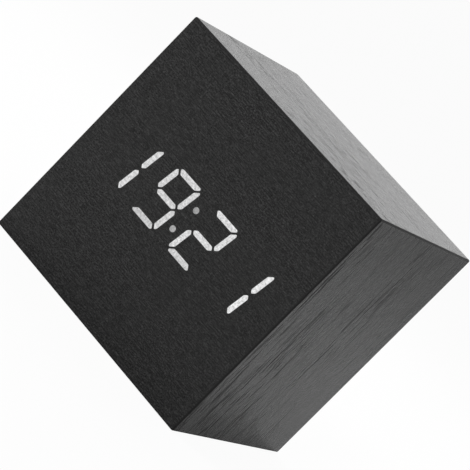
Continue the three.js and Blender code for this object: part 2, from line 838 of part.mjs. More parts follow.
function soundHoles() {
  const x = (cornerBlockInnerX + latchOpeningHalf + pocketWall) * soundHolePlaceShare;
  const z = (coverBottom + doorBottom - doorFit) / 2;
  const holes = [[x, z]];
  for (let i = 0; i < soundHoleCount; i += 1) {
    const angle = Math.PI * 2 * i / soundHoleCount;
    holes.push([x + soundHoleSpacing * Math.cos(angle), z + soundHoleSpacing * Math.sin(angle)]);
  }
  return holes.map(([holeX, holeZ]) => rodAlongY(
    soundHoleDiameter, holeX, holeZ, coverInnerY - cutOverrun, coverOuterY + cutOverrun, wireSides));
}

function coverScrewHoles() {
  return [-cornerScrewX, cornerScrewX].flatMap((x) => cornerScrewZ.flatMap((z) => [
    rodAlongY(coverScrewShank + 2 * screwFit, x, z, coverInnerY - cutOverrun, coverOuterY, smallSides),
    rodAlongY(
      coverScrewHead + 2 * headFit, x, z, coverOuterY - coverScrewHeadHeight - seatGap,
      coverOuterY + cutOverrun, plainSides),
  ]));
}

function buttonPlaces() {
  return buttonNames.map((name, i) => buttonRowX + ((buttonNames.length - 1) / 2 - i) * buttonPitch);
}

function socketOutline(grow) {
  const x = socketWidth / 2 + grow;
  const z0 = buttonZ - socketHeight / 2 - grow;
  const z1 = buttonZ + socketHeight / 2 + grow;
  const points = [
    [-x + socketBevel, z0], [x - socketBevel, z0], [x, z0 + socketBevel],
    [x, z1], [-x, z1], [-x, z0 + socketBevel],
  ];
  return outline(points.map(([u, v]) => [socketX + u, v]));
}

function buttonRowTools() {
  const y0 = coverInnerY - cutOverrun;
  const y1 = coverOuterY + cutOverrun;
  return [
    ...buttonPlaces().map((x) => rodAlongY(buttonHoleDiameter, x, buttonZ, y0, y1, plainSides)),
    slabAlongY(socketOutline(socketFit), y0, y1),
  ];
}

function bosses() {
  return [-bossX, bossX].map((x) => rodAlongY(
    bossDiameter, x, buttonZ, buttonBoardOuterY + seatGap, coverInnerY + jointSink, smallSides));
}

function bossHoles() {
  return [-bossX, bossX].map((x) => rodAlongY(
    boardScrewShank + 2 * screwFit, x, buttonZ, buttonBoardOuterY - cutOverrun,
    buttonBoardInnerY + boardScrewLength + seatGap, smallSides));
}

function backCover() {
  const plate = slabAlongY(
    roundedOutline(2 * coverHalf, coverTop - coverBottom, coverCorner, 0, coverMiddleZ),
    coverInnerY, coverOuterY);
  const bay = block(
    -bayLength / 2 - bayWall, bayLength / 2 + bayWall, bayFloorY - bayWall, coverInnerY + jointSink,
    bayZ - bayHeight / 2 - bayWall, bayZ + bayHeight / 2 + bayWall);
  const pocket = joinAll([pocketBox(pocketWall, coverInnerY + jointSink), bay]);
  const latchOpening = block(
    -latchOpeningHalf, latchOpeningHalf, coverInnerY - cutOverrun, coverOuterY + cutOverrun,
    latchOpeningBottom, doorBottom);
  const scoop = rodAlongY(
    2 * thumbScoopRadius, 0, latchOpeningBottom, coverOuterY - thumbScoopDepth,
    coverOuterY + cutOverrun, fineSides);
  return cutAll(joinAll([plate, pocket, ...bosses()]), [
    ...bayTools(), ...hookNotches(), pocketBox(0, coverInnerY + cutOverrun / 2), latchOpening, scoop,
    ...soundHoles(), ...coverScrewHoles(), ...buttonRowTools(), ...bossHoles(),
  ]);
}

// Battery door, with its hooks and the fixed leg of the latch

function doorHook(x) {
  const y1 = coverInnerY - hookGap;
  const y0 = y1 - hookThickness;
  const tip = doorTop + hookReach;
  const neck = doorTop - hookNeck;
  const points = [
    [doorInnerY + jointSink, neck], [doorInnerY + jointSink, doorTop], [y1, doorTop],
    [y1, tip - hookThickness / 2], [y1 - hookThickness / 2, tip], [y0, tip - hookThickness / 2], [y0, neck],
  ];
  return slabAlongX(outline(points), x - hookWidth / 2, x + hookWidth / 2);
}

// Half of the latch's bend: a quarter ring between the split and one leg, then the given end of that leg
function latchLegOutline(sign, legEnd) {
  const outer = latchLegSpacing / 2 + latchLeg;
  const inner = latchLegSpacing / 2;
  const splitAngle = Math.asin(latchSplit / 2 / inner);
  const shape = new THREE.Shape();
  const start = Math.PI - sign * splitAngle;
  const end = Math.PI - sign * Math.PI / 2;
  shape.absarc(latchPivotY, latchPivotZ, outer, start, end, sign > 0);
  for (const [y, z] of legEnd) shape.lineTo(y, z);
  shape.absarc(latchPivotY, latchPivotZ, inner, end, start, sign < 0);
  shape.closePath();
  return shape;
}

function gripGroovesCut() {
  const grooves = [];
  for (let i = 0; i < gripGrooves; i += 1) {
    const z = doorBottom + gripGrooveRise + i * gripGroovePitch;
    grooves.push(block(
      -gripGrooveLength / 2, gripGrooveLength / 2, coverOuterY - gripGrooveDepth, coverOuterY + cutOverrun,
      z - gripGrooveWidth / 2, z + gripGrooveWidth / 2));
  }
  return grooves;
}

function batteryDoor() {
  const plate = slabAlongY(
    roundedOutline(doorWidth, doorHeight, doorCorner, 0, bayZ), doorInnerY, coverOuterY);
  const tongue = [
    [doorInnerY, latchFixedLegBottom + latchLeg], [doorInnerY, doorBottom + jointSink],
    [coverOuterY, doorBottom + jointSink], [coverOuterY, latchFixedLegBottom],
  ];
  const leg = slabAlongX(latchLegOutline(1, tongue), -latchWidth / 2, latchWidth / 2, bendSteps);
  return cutAll(joinAll([plate, leg, ...hookPlaces().map(doorHook)]), gripGroovesCut());
}

// The free leg of the latch. Its nib is drawn just clear of the opening's edge that it snaps under, so that
// the door can swing with the latch at rest.
function doorLatch() {
  const catchY = coverInnerY - nibGap;
  const tip = latchFreeLegBottom - nibReach;
  const legWithNib = [
    [catchY - nibLength, latchFreeLegBottom], [catchY - nibFlat, tip], [catchY, tip],
    [catchY, latchFreeLegBottom], [coverOuterY, latchFreeLegBottom],
    [coverOuterY, latchFreeLegBottom + latchLeg],
  ];
  return slabAlongX(latchLegOutline(-1, legWithNib), -latchWidth / 2, latchWidth / 2, bendSteps);
}

// Cells and their contacts. A cell is drawn along Y with its nub up, and turned to lie along X.

function cell() {
  const radius = cellDiameter / 2;
  const nub = cellNubDiameter / 2;
  const can = cellLength - cellNubHeight;
  return turned([
    [0, 0], [radius - cellShoulder, 0], [radius, cellShoulder], [radius, can - cellShoulder],
    [radius - cellShoulder, can], [nub, can], [nub, cellLength - cellNubRadius],
    [nub - cellNubRadius, cellLength], [0, cellLength],
  ], fineSides);
}

// A stamped plate across one or more cells, with a solder tail through the bay's floor on request
function contactPlate(rows, tail) {
  const height = contactSize + (rows - 1) * cellPitch;
  const plate = slabAlongX(
    roundedOutline(contactSize, height, contactCorner), -contactThickness / 2, contactThickness / 2);
  if (!tail) return plate;
  const end = bayFloorY - bayWall - tailReach - cellY;
  const strip = block(
    -contactThickness / 2, contactThickness / 2, end, -contactSize / 2 + jointSink,
    -tailWidth / 2, tailWidth / 2);
  return joinAll([plate, strip]);
}

// A conical spring along X, wide at the plate and narrow at the cell
function springPoints() {
  const rise = springRoom - springWire - 2 * seatGap;
  const count = springTurns * springStepsPerTurn;
  const points = [];
  for (let i = 0; i <= count; i += 1) {
    const share = i / count;
    const angle = Math.PI * 2 * i / springStepsPerTurn;
    const radius = THREE.MathUtils.lerp(springBaseDiameter, springTipDiameter, share) / 2;
    const height = seatGap + springWire / 2 + rise * share;
    points.push([height, radius * Math.cos(angle), radius * Math.sin(angle)]);
  }
  return points;
}

function leastGapToItself(points) {
  const places = points.map((place) => new THREE.Vector3(...place));
  let least = Infinity;
  for (let i = 0; i < places.length; i += 1) {
    for (let j = i + springStepsPerTurn / 2; j < places.length; j += 1) {
      least = Math.min(least, places[i].distanceTo(places[j]) - springWire);
    }
  }
  return least;
}

function contactSpring() {
  const points = springPoints();
  const gap = leastGapToItself(points);
  console.log(`contact spring: least gap to itself ${gap.toFixed(2)} mm, wanted over ${leastSpringGap} mm`);
  return wire(points, springWire, springTurns * springStepsPerTurn, springSides);
}

// A lead from a contact's solder tail to the button board: straight at both joints
function batteryLead(sign, row, shares) {
  const start = [sign * contactX, bayFloorY - bayWall - tailReach - leadGap, cellRowZ[row]];
  const end = [sign * (buttonBoardHalf - leadInset), buttonBoardInnerY - leadGap, buttonZ];
  const between = shares.map(
    (share) => share.map((part, i) => THREE.MathUtils.lerp(start[i], end[i], part)));
  const straightOut = [start[0], start[1] - leadStraight, start[2]];
  const straightIn = [end[0], end[1] - leadStraight, end[2]];
  return wire([start, straightOut, ...between, straightIn, end], leadDiameter, leadSteps, wireSides);
}

// Buttons and switches, drawn along Y at the middle of their own hole

function buttonCap() {
  const cap = buttonHoleDiameter / 2 - buttonFit;
  const flange = buttonHoleDiameter / 2 + buttonFlange;
  const flangeY1 = coverInnerY - buttonFlangeGap;
  const flangeY0 = flangeY1 - buttonFlangeThickness;
  const face = coverOuterY + buttonProud;
  const stem = buttonStemDiameter / 2;
  return turned([
    [0, plungerTopY + seatGap], [stem, plungerTopY + seatGap], [stem, flangeY0],
    [flange, flangeY0], [flange, flangeY1], [cap, flangeY1], [cap, face - buttonEdge],
    [cap - buttonEdge, face], [0, face - buttonDish],
  ], plainSides);
}

function switchPlunger() {
  const radius = plungerDiameter / 2;
  return turned([
    [0, switchTopY - plungerSunk], [radius, switchTopY - plungerSunk],
    [radius, plungerTopY - plungerTipBevel], [radius - plungerTipBevel, plungerTopY], [0, plungerTopY],
  ], smallSides);
}

function switchBody() {
  const body = slabAlongY(
    roundedOutline(switchSize, switchSize, switchCorner), buttonBoardOuterY + seatGap, switchTopY);
  return cutAll(body, [
    rodAlongY(switchBoreDiameter, 0, 0, switchTopY - switchBoreDepth, switchTopY + cutOverrun, smallSides),
  ]);
}

function buttonBoard() {
  const sheet = slabAlongY(
    roundedOutline(2 * buttonBoardHalf, buttonBoardHeight, buttonBoardCorner, 0, buttonZ),
    buttonBoardInnerY, buttonBoardOuterY);
  return cutAll(sheet, [-bossX, bossX].map((x) => rodAlongY(
    boardScrewShank + 2 * screwFit, x, buttonZ,
    buttonBoardInnerY - cutOverrun, buttonBoardOuterY + cutOverrun)));
}

// The power socket: a folded metal shell, closed at the board, with a contact tongue inside
function powerSocket() {
  const y0 = buttonBoardOuterY + seatGap;
  const y1 = y0 + socketLength;
  const shell = cutAll(slabAlongY(socketOutline(0), y0, y1), [
    slabAlongY(socketOutline(-socketSheet), y0 + socketSheet, y1 + cutOverrun),
  ]);
  const z = buttonZ + socketTongueThickness;
  const tongue = block(
    socketX - socketTongueWidth / 2, socketX + socketTongueWidth / 2,
    y0 + socketSheet / 2, y1 - socketTongueSetback,
    z - socketTongueThickness / 2, z + socketTongueThickness / 2);
  return joinAll([shell, tongue]);
}

function microphone() {
  const radius = microphoneDiameter / 2;
  const mouth = microphoneMouth / 2;
  const y1 = buttonBoardInnerY - seatGap;
  const y0 = y1 - microphoneHeight;
  return turned([
    [0, y0 + microphoneMouthDepth], [mouth, y0 + microphoneMouthDepth], [mouth, y0],
    [radius, y0], [radius, y1], [0, y1],
  ], plainSides).translate(microphoneX, 0, buttonZ);
}

// A cross-recess screw along Y: the top of its head is at zero and its point is below
function screw(head, headHeight, shank, length, slot, slotWidth) {
  const crown = headHeight * headCrownShare;
  const body = turned([
    [0, -length], [shank / 2, shank * pointShare - length], [shank / 2, -headHeight],
    [head / 2, -headHeight], [head / 2, -crown], [head / 2 * headFaceShare, 0], [0, 0],
  ], smallSides);
  const depth = headHeight * slotDepthShare;
  return cutAll(body, [
    block(-slot / 2, slot / 2, -depth, cutOverrun, -slotWidth / 2, slotWidth / 2),
    block(-slotWidth / 2, slotWidth / 2, -depth, cutOverrun, -slot / 2, slot / 2),
  ]);
}

function coverScrew() {
  return screw(
    coverScrewHead, coverScrewHeadHeight, coverScrewShank, coverScrewLength, coverScrewSlot,
    coverScrewSlotWidth);
}

function boardScrew() {
  return screw(
    boardScrewHead, boardScrewHeadHeight, boardScrewShank, boardScrewLength, boardScrewSlot,
    boardScrewSlotWidth);
}

// The clock, put together from the case inwards

const clock = new THREE.Group();

function group(name) {
  const made = new THREE.Group();
  made.name = name;
  clock.add(made);
  return made;
}

function add(parent, name, geometry, finishName) {
  const mesh = new THREE.Mesh(geometry, finish(finishName));
  mesh.name = name;
  parent.add(mesh);
  return mesh;
}

const woodenCase = group('wooden_case');
add(woodenCase, 'front_veneer', frontVeneer(), 'veneer');
add(woodenCase, 'front_panel', frontPanel(), 'fibreboard');
for (const side of ['top', 'bottom', 'left', 'right']) {
  add(woodenCase, `${side}_veneer`, veneer(side), 'veneer');
  add(woodenCase, `${side}_panel`, panel(side), 'fibreboard');
}
for (const [name, signX, signZ] of [
  ['lower_left', -1, -1], ['lower_right', 1, -1], ['upper_left', -1, 1], ['upper_right', 1, 1],
]) {
  add(woodenCase, `corner_block_${name}`, cornerBlock(signX, signZ), 'fibreboard');
}

const display = group('display');
for (const place of allPlaces) add(display, `lit_digit_${place + 1}`, digitLens(place), 'litLens');
add(display, 'lit_colon', colonLens(), 'litLens');
add(display, 'diffuser_film', diffuserFilm(), 'film');
add(display, 'segment_frame', segmentFrame(), 'whitePlastic');
add(display, 'display_board', displayBoard(), 'board');
add(display, 'controller_chip', controllerChip(), 'chipPlastic');
add(display, 'buzzer', buzzer(), 'blackPlastic');
add(display, 'ribbon_cable', ribbonCable(), 'greyRibbon');
displayScrewPlaces().forEach(([x, z], i) => {
  const mesh = add(display, `display_screw_${i + 1}`, boardScrew(), 'steel');
  mesh.position.set(x, displayBoardBackY + seatGap + boardScrewHeadHeight, z);
});

const back = group('back');
add(back, 'back_cover', backCover(), 'blackPlastic');
add(back, 'battery_door', batteryDoor(), 'blackPlastic');
add(back, 'door_latch', doorLatch(), 'blackPlastic');
[[-1, 0], [1, 0], [-1, 1], [1, 1]].forEach(([signX, row], i) => {
  const mesh = add(back, `cover_screw_${i + 1}`, coverScrew(), 'steel');
  mesh.position.set(cornerScrewX * signX, coverOuterY, cornerScrewZ[row]);
});

// The cells lie head to tail, so the nub of the lowest and the highest points to the right
const power = group('power');
cellRowZ.forEach((z, i) => {
  const sign = i % 2 ? -1 : 1;
  const mesh = add(power, `battery_${i + 1}`, cell(), 'cellSleeve');
  mesh.position.set(sign * (contactX - contactThickness / 2 - seatGap - cellLength), cellY, z);
  mesh.rotation.z = -sign * Math.PI / 2;
  const spring = add(power, `contact_spring_${i + 1}`, contactSpring(), 'nickel');
  spring.position.set(-sign * (contactX - contactThickness / 2), cellY, z);
  spring.rotation.z = sign > 0 ? 0 : Math.PI;
});
for (const [name, sign, rows, firstRow, tail] of [
  ['contact_positive', 1, 1, 0, true], ['contact_bridge_right', 1, 2, 1, false],
  ['contact_bridge_left', -1, 2, 0, false], ['contact_negative', -1, 1, 2, true],
]) {
  const plate = add(power, name, contactPlate(rows, tail), 'nickel');
  plate.position.set(sign * contactX, cellY, cellRowZ[firstRow] + (rows - 1) * cellPitch / 2);
}
add(power, 'battery_lead_positive', batteryLead(1, 0, leadPositiveShares), 'redWire');
add(power, 'battery_lead_negative', batteryLead(-1, 2, leadNegativeShares), 'blackWire');

const controls = group('controls');
buttonNames.forEach((name, i) => {
  const x = buttonPlaces()[i];
  for (const [node, geometry, finishName] of [
    [`button_${name}`, buttonCap(), 'buttonPlastic'],
    [`switch_plunger_${name}`, switchPlunger(), 'blackPlastic'],
    [`switch_${name}`, switchBody(), 'chipPlastic'],
  ]) {
    add(controls, node, geometry, finishName).position.set(x, 0, buttonZ);
  }
});
add(controls, 'button_board', buttonBoard(), 'board');
add(controls, 'usb_socket', powerSocket(), 'nickel');
add(controls, 'microphone', microphone(), 'nickel');
[-bossX, bossX].forEach((x, i) => {
  const mesh = add(controls, `board_screw_${i + 1}`, boardScrew(), 'steel');
  mesh.position.set(x, buttonBoardInnerY - seatGap - boardScrewHeadHeight, buttonZ);
  mesh.rotation.x = Math.PI;
});

export default clock;
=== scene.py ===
import math

import bmesh
import bpy
from mathutils import Matrix, Vector


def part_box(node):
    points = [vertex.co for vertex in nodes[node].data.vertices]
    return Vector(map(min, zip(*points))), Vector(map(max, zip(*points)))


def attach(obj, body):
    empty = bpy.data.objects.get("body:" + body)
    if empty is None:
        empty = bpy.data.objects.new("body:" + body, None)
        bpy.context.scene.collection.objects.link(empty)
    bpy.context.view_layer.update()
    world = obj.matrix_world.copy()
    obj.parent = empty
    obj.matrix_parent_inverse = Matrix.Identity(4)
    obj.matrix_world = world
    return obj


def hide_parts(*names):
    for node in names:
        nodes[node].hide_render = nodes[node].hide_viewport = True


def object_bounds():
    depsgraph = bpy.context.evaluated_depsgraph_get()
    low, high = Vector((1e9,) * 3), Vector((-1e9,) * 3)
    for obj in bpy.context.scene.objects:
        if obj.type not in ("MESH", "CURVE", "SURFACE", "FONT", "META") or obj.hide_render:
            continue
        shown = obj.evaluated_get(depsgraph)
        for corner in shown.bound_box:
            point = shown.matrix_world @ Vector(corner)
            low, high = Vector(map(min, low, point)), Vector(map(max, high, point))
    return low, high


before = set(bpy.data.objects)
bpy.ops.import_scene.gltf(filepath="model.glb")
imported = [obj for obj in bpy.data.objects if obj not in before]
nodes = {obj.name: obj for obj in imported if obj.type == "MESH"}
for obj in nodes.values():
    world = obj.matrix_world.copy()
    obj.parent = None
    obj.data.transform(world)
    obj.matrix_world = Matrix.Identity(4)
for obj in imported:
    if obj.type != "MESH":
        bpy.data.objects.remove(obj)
cad_low, cad_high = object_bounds()


# Veneer: five thin sheets of open-pored wood, stained black and glued over the panels of the case. They
# meet in mitres along the rounded edges. The grain runs across the front, top and bottom, and upright on
# the two sides.

case_size = cad_high - cad_low
case_middle = (cad_high + cad_low) / 2
veneer_low, veneer_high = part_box("front_veneer")
veneer_thickness = veneer_high.y - veneer_low.y
edge_radius = 0.0004
edge_segments = 4
mitre_gap = 0.00005
arris_area = 1e-4

front_figure = {
    "speck": (0.00045, 0.0003), "relief": 0.00005, "hair": (0.0022, 0.0003), "pore": (0.006, 0.0002),
    "pored": (0.25, 0.25), "speck_grey": 0.046, "fleck_grey": 0.078}
level_figure = {
    "speck": (0.0004, 0.0008), "relief": 0.00009, "hair": (0.002, 0.0009), "pore": (0.0035, 0.0006),
    "pored": (0.5, 0.22), "speck_grey": 0.04, "fleck_grey": 0.045}
upright_figure = {
    "speck": (0.0005, 0.0008), "relief": 0.00016, "hair": (0.006, 0.0007), "pore": (0.006, 0.0006),
    "pored": (0.9, 0.25), "speck_grey": 0.04, "fleck_grey": 0.045}
fine_speck_size = (0.00045, 0.0003)
fine_hair_size = (0.0022, 0.0003)
cluster_length = 0.03
cluster_width = 0.006
pored_front = -0.008
pored_back = 0.02
band_length = 0.06
band_width = 0.003
pore_depth = 0.00004
hair_relief = 0.00004
veneer_black = (0.0025, 0.0025, 0.0025, 1)
veneer_grey = (0.006, 0.006, 0.006, 1)
pore_black = (0.002, 0.002, 0.002, 1)
arris_black = (0.009, 0.009, 0.009, 1)
arris_grey = (0.0095, 0.0095, 0.0095, 1)
veneer_roughness = 0.19
pore_roughness = 0.65
speck_roughness = 0.05
arris_roughness = 0.6
arris_gloss = 0.45
arris_speck = 0.0008
veneer_ior = 1.33
noise_span = (0.3, 0.7)
cluster_span = (0.40, 0.58)
cluster_least = 0.3
pore_span = (0.52, 0.60)
band_span = (0.35, 0.65)
grain_span = (0.46, 0.66)
fleck_span = (0.60, 0.72)
speck_weight = 0.6
hair_weight = 0.4
flat_normal = 0.9999


def new_material(name, roughness, metallic=0.0):
    """A material with its node tree and its shader, whose even values are set on the shader itself."""
    material = bpy.data.materials.new(name)
    material.use_nodes = True
    shader = material.node_tree.nodes["Principled BSDF"]
    shader.inputs["Roughness"].default_value = roughness
    shader.inputs["Metallic"].default_value = metallic
    return material, material.node_tree, shader


def stretched_noise(tree, size, detail=2.0, roughness=0.5):
    """Noise on the piece's own coordinates, with cells of the given size along X, Y and Z."""
    coordinates = tree.nodes.new("ShaderNodeTexCoord")
    mapping = tree.nodes.new("ShaderNodeMapping")
    mapping.inputs["Scale"].default_value = [1 / length for length in size]
    noise = tree.nodes.new("ShaderNodeTexNoise")
    noise.inputs["Scale"].default_value = 1
    noise.inputs["Detail"].default_value = detail
    noise.inputs["Roughness"].default_value = roughness
    tree.links.new(coordinates.outputs["Object"], mapping.inputs["Vector"])
    tree.links.new(mapping.outputs["Vector"], noise.inputs["Vector"])
    return noise.outputs["Fac"]


def spread(tree, value, low, high, to_low=0.0, to_high=1.0):
    """Stretches the values between low and high to a new span, and clamps what lies outside."""
    node = tree.nodes.new("ShaderNodeMapRange")
    for name, number in (("From Min", low), ("From Max", high), ("To Min", to_low), ("To Max", to_high)):
        node.inputs[name].default_value = number
    tree.links.new(value, node.inputs["Value"])
    return node.outputs["Result"]


def mixed_colour(tree, factor, first, second):
    """Mixes two colours, each given as numbers or as another node's output."""
    node = tree.nodes.new("ShaderNodeMix")
    node.data_type = "RGBA"
    tree.links.new(factor, node.inputs[0])
    for socket, colour in ((node.inputs[6], first), (node.inputs[7], second)):
        if isinstance(colour, tuple):
            socket.default_value = colour
        else:
            tree.links.new(colour, socket)
    return node.outputs[2]


def add_bump(tree, shader, height, depth):
    """Raises and sinks the surface by a pattern, to a real depth."""
    bump = tree.nodes.new("ShaderNodeBump")
    bump.inputs["Distance"].default_value = depth
    tree.links.new(height, bump.inputs["Height"])
    tree.links.new(bump.outputs["Normal"], shader.inputs["Normal"])


def along_grain(axis, length, width):
    """A cell's size along X, Y and Z, long on the grain's axis."""
    return [length if letter == axis else width for letter in "XYZ"]


def combined(tree, operation, first, second):
    """One arithmetic step between two values, either of which may be a plain number."""
    node = tree.nodes.new("ShaderNodeMath")
    node.operation = operation
    for socket, value in zip(node.inputs, (first, second)):
        if isinstance(value, (int, float)):
            socket.default_value = value
        else:
            tree.links.new(value, socket)
    return node.outputs[0]


def place_along(tree, axis):
    """The piece's own coordinate along one axis, in metres."""
    coordinates = tree.nodes.new("ShaderNodeTexCoord")
    separate = tree.nodes.new("ShaderNodeSeparateXYZ")
    tree.links.new(coordinates.outputs["Object"], separate.inputs[0])
    return separate.outputs[axis]


def veneer_material(name, grain_axis, figure):
    """Specks all over, fine hairlines, and long thin pores in clusters, which are sunk, matt and darker."""
    material, tree, shader = new_material(name, veneer_roughness)
    shader.inputs["IOR"].default_value = veneer_ior
    pore_noise = stretched_noise(tree, along_grain(grain_axis, *figure["pore"]), 1.2)
    cluster_noise = stretched_noise(tree, along_grain(grain_axis, cluster_length, cluster_width), 1)
    depth = place_along(tree, "Y")
    share = combined(
        tree, "MULTIPLY", spread(tree, cluster_noise, *cluster_span, cluster_least, 1),
        spread(tree, depth, pored_front, pored_back, *figure["pored"]))
    pores = combined(tree, "MULTIPLY", spread(tree, pore_noise, *pore_span), share)
    hairs = stretched_noise(tree, along_grain(grain_axis, *figure["hair"]), 2, 0.6)
    bands = stretched_noise(tree, along_grain(grain_axis, band_length, band_width), 3)
    specks = stretched_noise(tree, along_grain(grain_axis, *figure["speck"]), 3, 0.8)
    body = mixed_colour(tree, spread(tree, bands, *band_span), veneer_black, veneer_grey)
    fine_specks = stretched_noise(tree, along_grain(grain_axis, *fine_speck_size), 3, 0.8)
    fine_hairs = stretched_noise(tree, along_grain(grain_axis, *fine_hair_size), 2, 0.6)
    grained = combined(
        tree, "ADD", combined(tree, "MULTIPLY", fine_specks, speck_weight),
        combined(tree, "MULTIPLY", fine_hairs, hair_weight))
    speck_grey, fleck_grey = [(figure[tone],) * 3 + (1,) for tone in ("speck_grey", "fleck_grey")]
    specked = mixed_colour(tree, spread(tree, grained, *grain_span), body, speck_grey)
    specked = mixed_colour(tree, spread(tree, fine_specks, *fleck_span), specked, fleck_grey)
    tree.links.new(mixed_colour(tree, pores, specked, pore_black), shader.inputs["Base Color"])
    speck_gloss = spread(
        tree, specks, *noise_span, veneer_roughness - speck_roughness, veneer_roughness + speck_roughness)
    pore_gloss = spread(tree, pores, 0, 1, 0, pore_roughness - veneer_roughness)
    tree.links.new(combined(tree, "ADD", speck_gloss, pore_gloss), shader.inputs["Roughness"])
    speck_height = combined(tree, "MULTIPLY", specks, figure["relief"] / pore_depth)
    hair_height = combined(tree, "MULTIPLY", hairs, hair_relief / pore_depth)
    height = combined(tree, "SUBTRACT", combined(tree, "ADD", speck_height, hair_height), pores)
    add_bump(tree, shader, height, pore_depth)
    return material, tree, shader


def arris_material():
    """The sanded corners of the sheets, where the stain is deep and the finish is matt."""
    material, tree, shader = new_material("stained_arris", arris_roughness)
    shader.inputs["IOR"].default_value = veneer_ior
    shader.inputs["Specular IOR Level"].default_value = arris_gloss
    specks = stretched_noise(tree, [arris_speck] * 3, 2)
    tree.links.new(mixed_colour(tree, specks, arris_black, arris_grey), shader.inputs["Base Color"])
    add_bump(tree, shader, specks, pore_depth / 4)
    return material


def keep_inside(bm, point, normal):
    """Cuts away what lies beyond a plane and closes the cut."""
    geometry = bm.verts[:] + bm.edges[:] + bm.faces[:]
    bmesh.ops.bisect_plane(bm, geom=geometry, plane_co=point, plane_no=normal, clear_outer=True)
    bmesh.ops.holes_fill(bm, edges=[edge for edge in bm.edges if edge.is_boundary], sides=0)


def veneer_sheet(side):
    """One layer of the rounded case, from its outside in, mitred against the sheets beside it."""
    bm = bmesh.new()
    bmesh.ops.create_cube(bm, size=1)
    bmesh.ops.scale(bm, vec=case_size, verts=bm.verts)
    bmesh.ops.translate(bm, vec=case_middle, verts=bm.verts)
    bmesh.ops.bevel(
        bm, geom=bm.edges[:], offset=edge_radius, segments=edge_segments, profile=0.5, affect="EDGES",
        material=-1)
    surface = case_middle + Vector(side[i] * case_size[i] / 2 for i in range(3))
    keep_inside(bm, surface - side * veneer_thickness, -side)
    for other in sheet_sides.values():
        if abs(other.dot(side)) < 0.5:
            edge = surface + Vector(other[i] * case_size[i] / 2 for i in range(3)) - other * mitre_gap / 2
            keep_inside(bm, edge, (other - side).normalized())
    return bm


def finish_round_faces(bm):
    """Shades the rounded corners smooth and gives them the second material."""
    for face in bm.faces:
        rounded = max(abs(part) for part in face.normal) < flat_normal and face.calc_area() < arris_area
        face.smooth = rounded
        face.material_index = 1 if rounded else 0


def make_piece(name, bm, materials, body, slot, *replaced):
    """Turns a finished mesh into a piece that rides on a body, in place of the CAD nodes it stands for."""
    bmesh.ops.recalc_face_normals(bm, faces=bm.faces)
    mesh = bpy.data.meshes.new(name)
    bm.to_mesh(mesh)
    bm.free()
    for material in materials:
        mesh.materials.append(material)
    piece = bpy.data.objects.new(name, mesh)
    bpy.context.scene.collection.objects.link(piece)
    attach(piece, body)
    if replaced:
        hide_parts(*replaced)


sheet_sides = {
    "front": Vector((0, -1, 0)),
    "top": Vector((0, 0, 1)),
    "bottom": Vector((0, 0, -1)),
    "left": Vector((-1, 0, 0)),
    "right": Vector((1, 0, 0)),
}
level_grain = veneer_material("veneer_level_grain", "X", level_figure)[0]
upright_grain = veneer_material("veneer_upright_grain", "Z", upright_figure)[0]
arris = arris_material()

for name, material in (
    ("top", level_grain), ("bottom", level_grain), ("left", upright_grain), ("right", upright_grain),
):
    sheet = veneer_sheet(sheet_sides[name])
    finish_round_faces(sheet)
    make_piece(name + "_veneer_sheet", sheet, [material, arris], "clock", "veneer", name + "_veneer")


# Front veneer and the time: the front sheet has no openings. It is thin enough over the display for the
# light of the segments to shine through, so the digits are lit patches of wood.

time_shown = "1921"
lit_segments = {"1": "bc", "2": "abdeg", "9": "abcdfg"}
digit_height = 0.01415
digit_width = 0.0082
segment_width = 0.00135
segment_gap = 0.00048
corner_cut = 0.00112
slant = math.tan(math.radians(8.45))
dot_diameter = 0.00152
dot_spacing = 0.0064
dot_sides = 32
corner_rounding = 0.00024
rounding_steps = 3
corner_reach = 0.45
light_rim = 0.00003
light_shift = Vector((0.00015, 0, 0.00007))
lit_mottle = 0.0006
wood_dark_share = 0.42
lit_white = (0.98, 0.98, 0.985, 1)
digit_light = (0.92, 0.88, 0.95, 1.05)
bottom_bar_share = 0.87
dot_light = {-1: 0.52, 1: 0.44}


def segment_outlines():
    """The seven segments round the middle of an upright digit."""
    x = digit_width / 2
    z = digit_height / 2
    half = segment_width / 2
    inner = x - segment_width
    shift = segment_gap / math.sqrt(2)
    bar_tip_x = x - (corner_cut + shift) / 2
    bar_tip_z = z - (corner_cut - shift) / 2
    post_tip_x = x - (corner_cut - shift) / 2
    post_tip_z = z - (corner_cut + shift) / 2
    top = [
        (inner - shift, z - segment_width), (bar_tip_x, bar_tip_z), (x - corner_cut, z),
        (corner_cut - x, z), (-bar_tip_x, bar_tip_z), (shift - inner, z - segment_width),
    ]
    upper_right = [
        (x, half + shift), (x, z - corner_cut), (post_tip_x, post_tip_z),
        (inner, z - segment_width - shift), (inner, half + shift), (x - half, shift),
    ]
    middle = [
        (inner - shift, -half), (x - half - shift, 0), (inner - shift, half),
        (shift - inner, half), (shift + half - x, 0), (shift - inner, -half),
    ]

    def mirrored(points, sign_x, sign_z):
        """The same outline on the other side of the digit's middle."""
        return [(u * sign_x, v * sign_z) for u, v in points]

    return {
        "a": top, "b": upper_right, "c": mirrored(upper_right, 1, -1), "d": mirrored(top, 1, -1),
        "e": mirrored(upper_right, -1, -1), "f": mirrored(upper_right, -1, 1), "g": middle,
    }


def node_middle(name):
    """The middle of a CAD node's box."""
    low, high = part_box(name)
    return (low + high) / 2


def placed(points, middle, y):
    """Slants an outline to the right and puts it round a middle, in the plane at y."""
    return [(middle.x + u + v * slant, y, middle.z + v) for u, v in points]


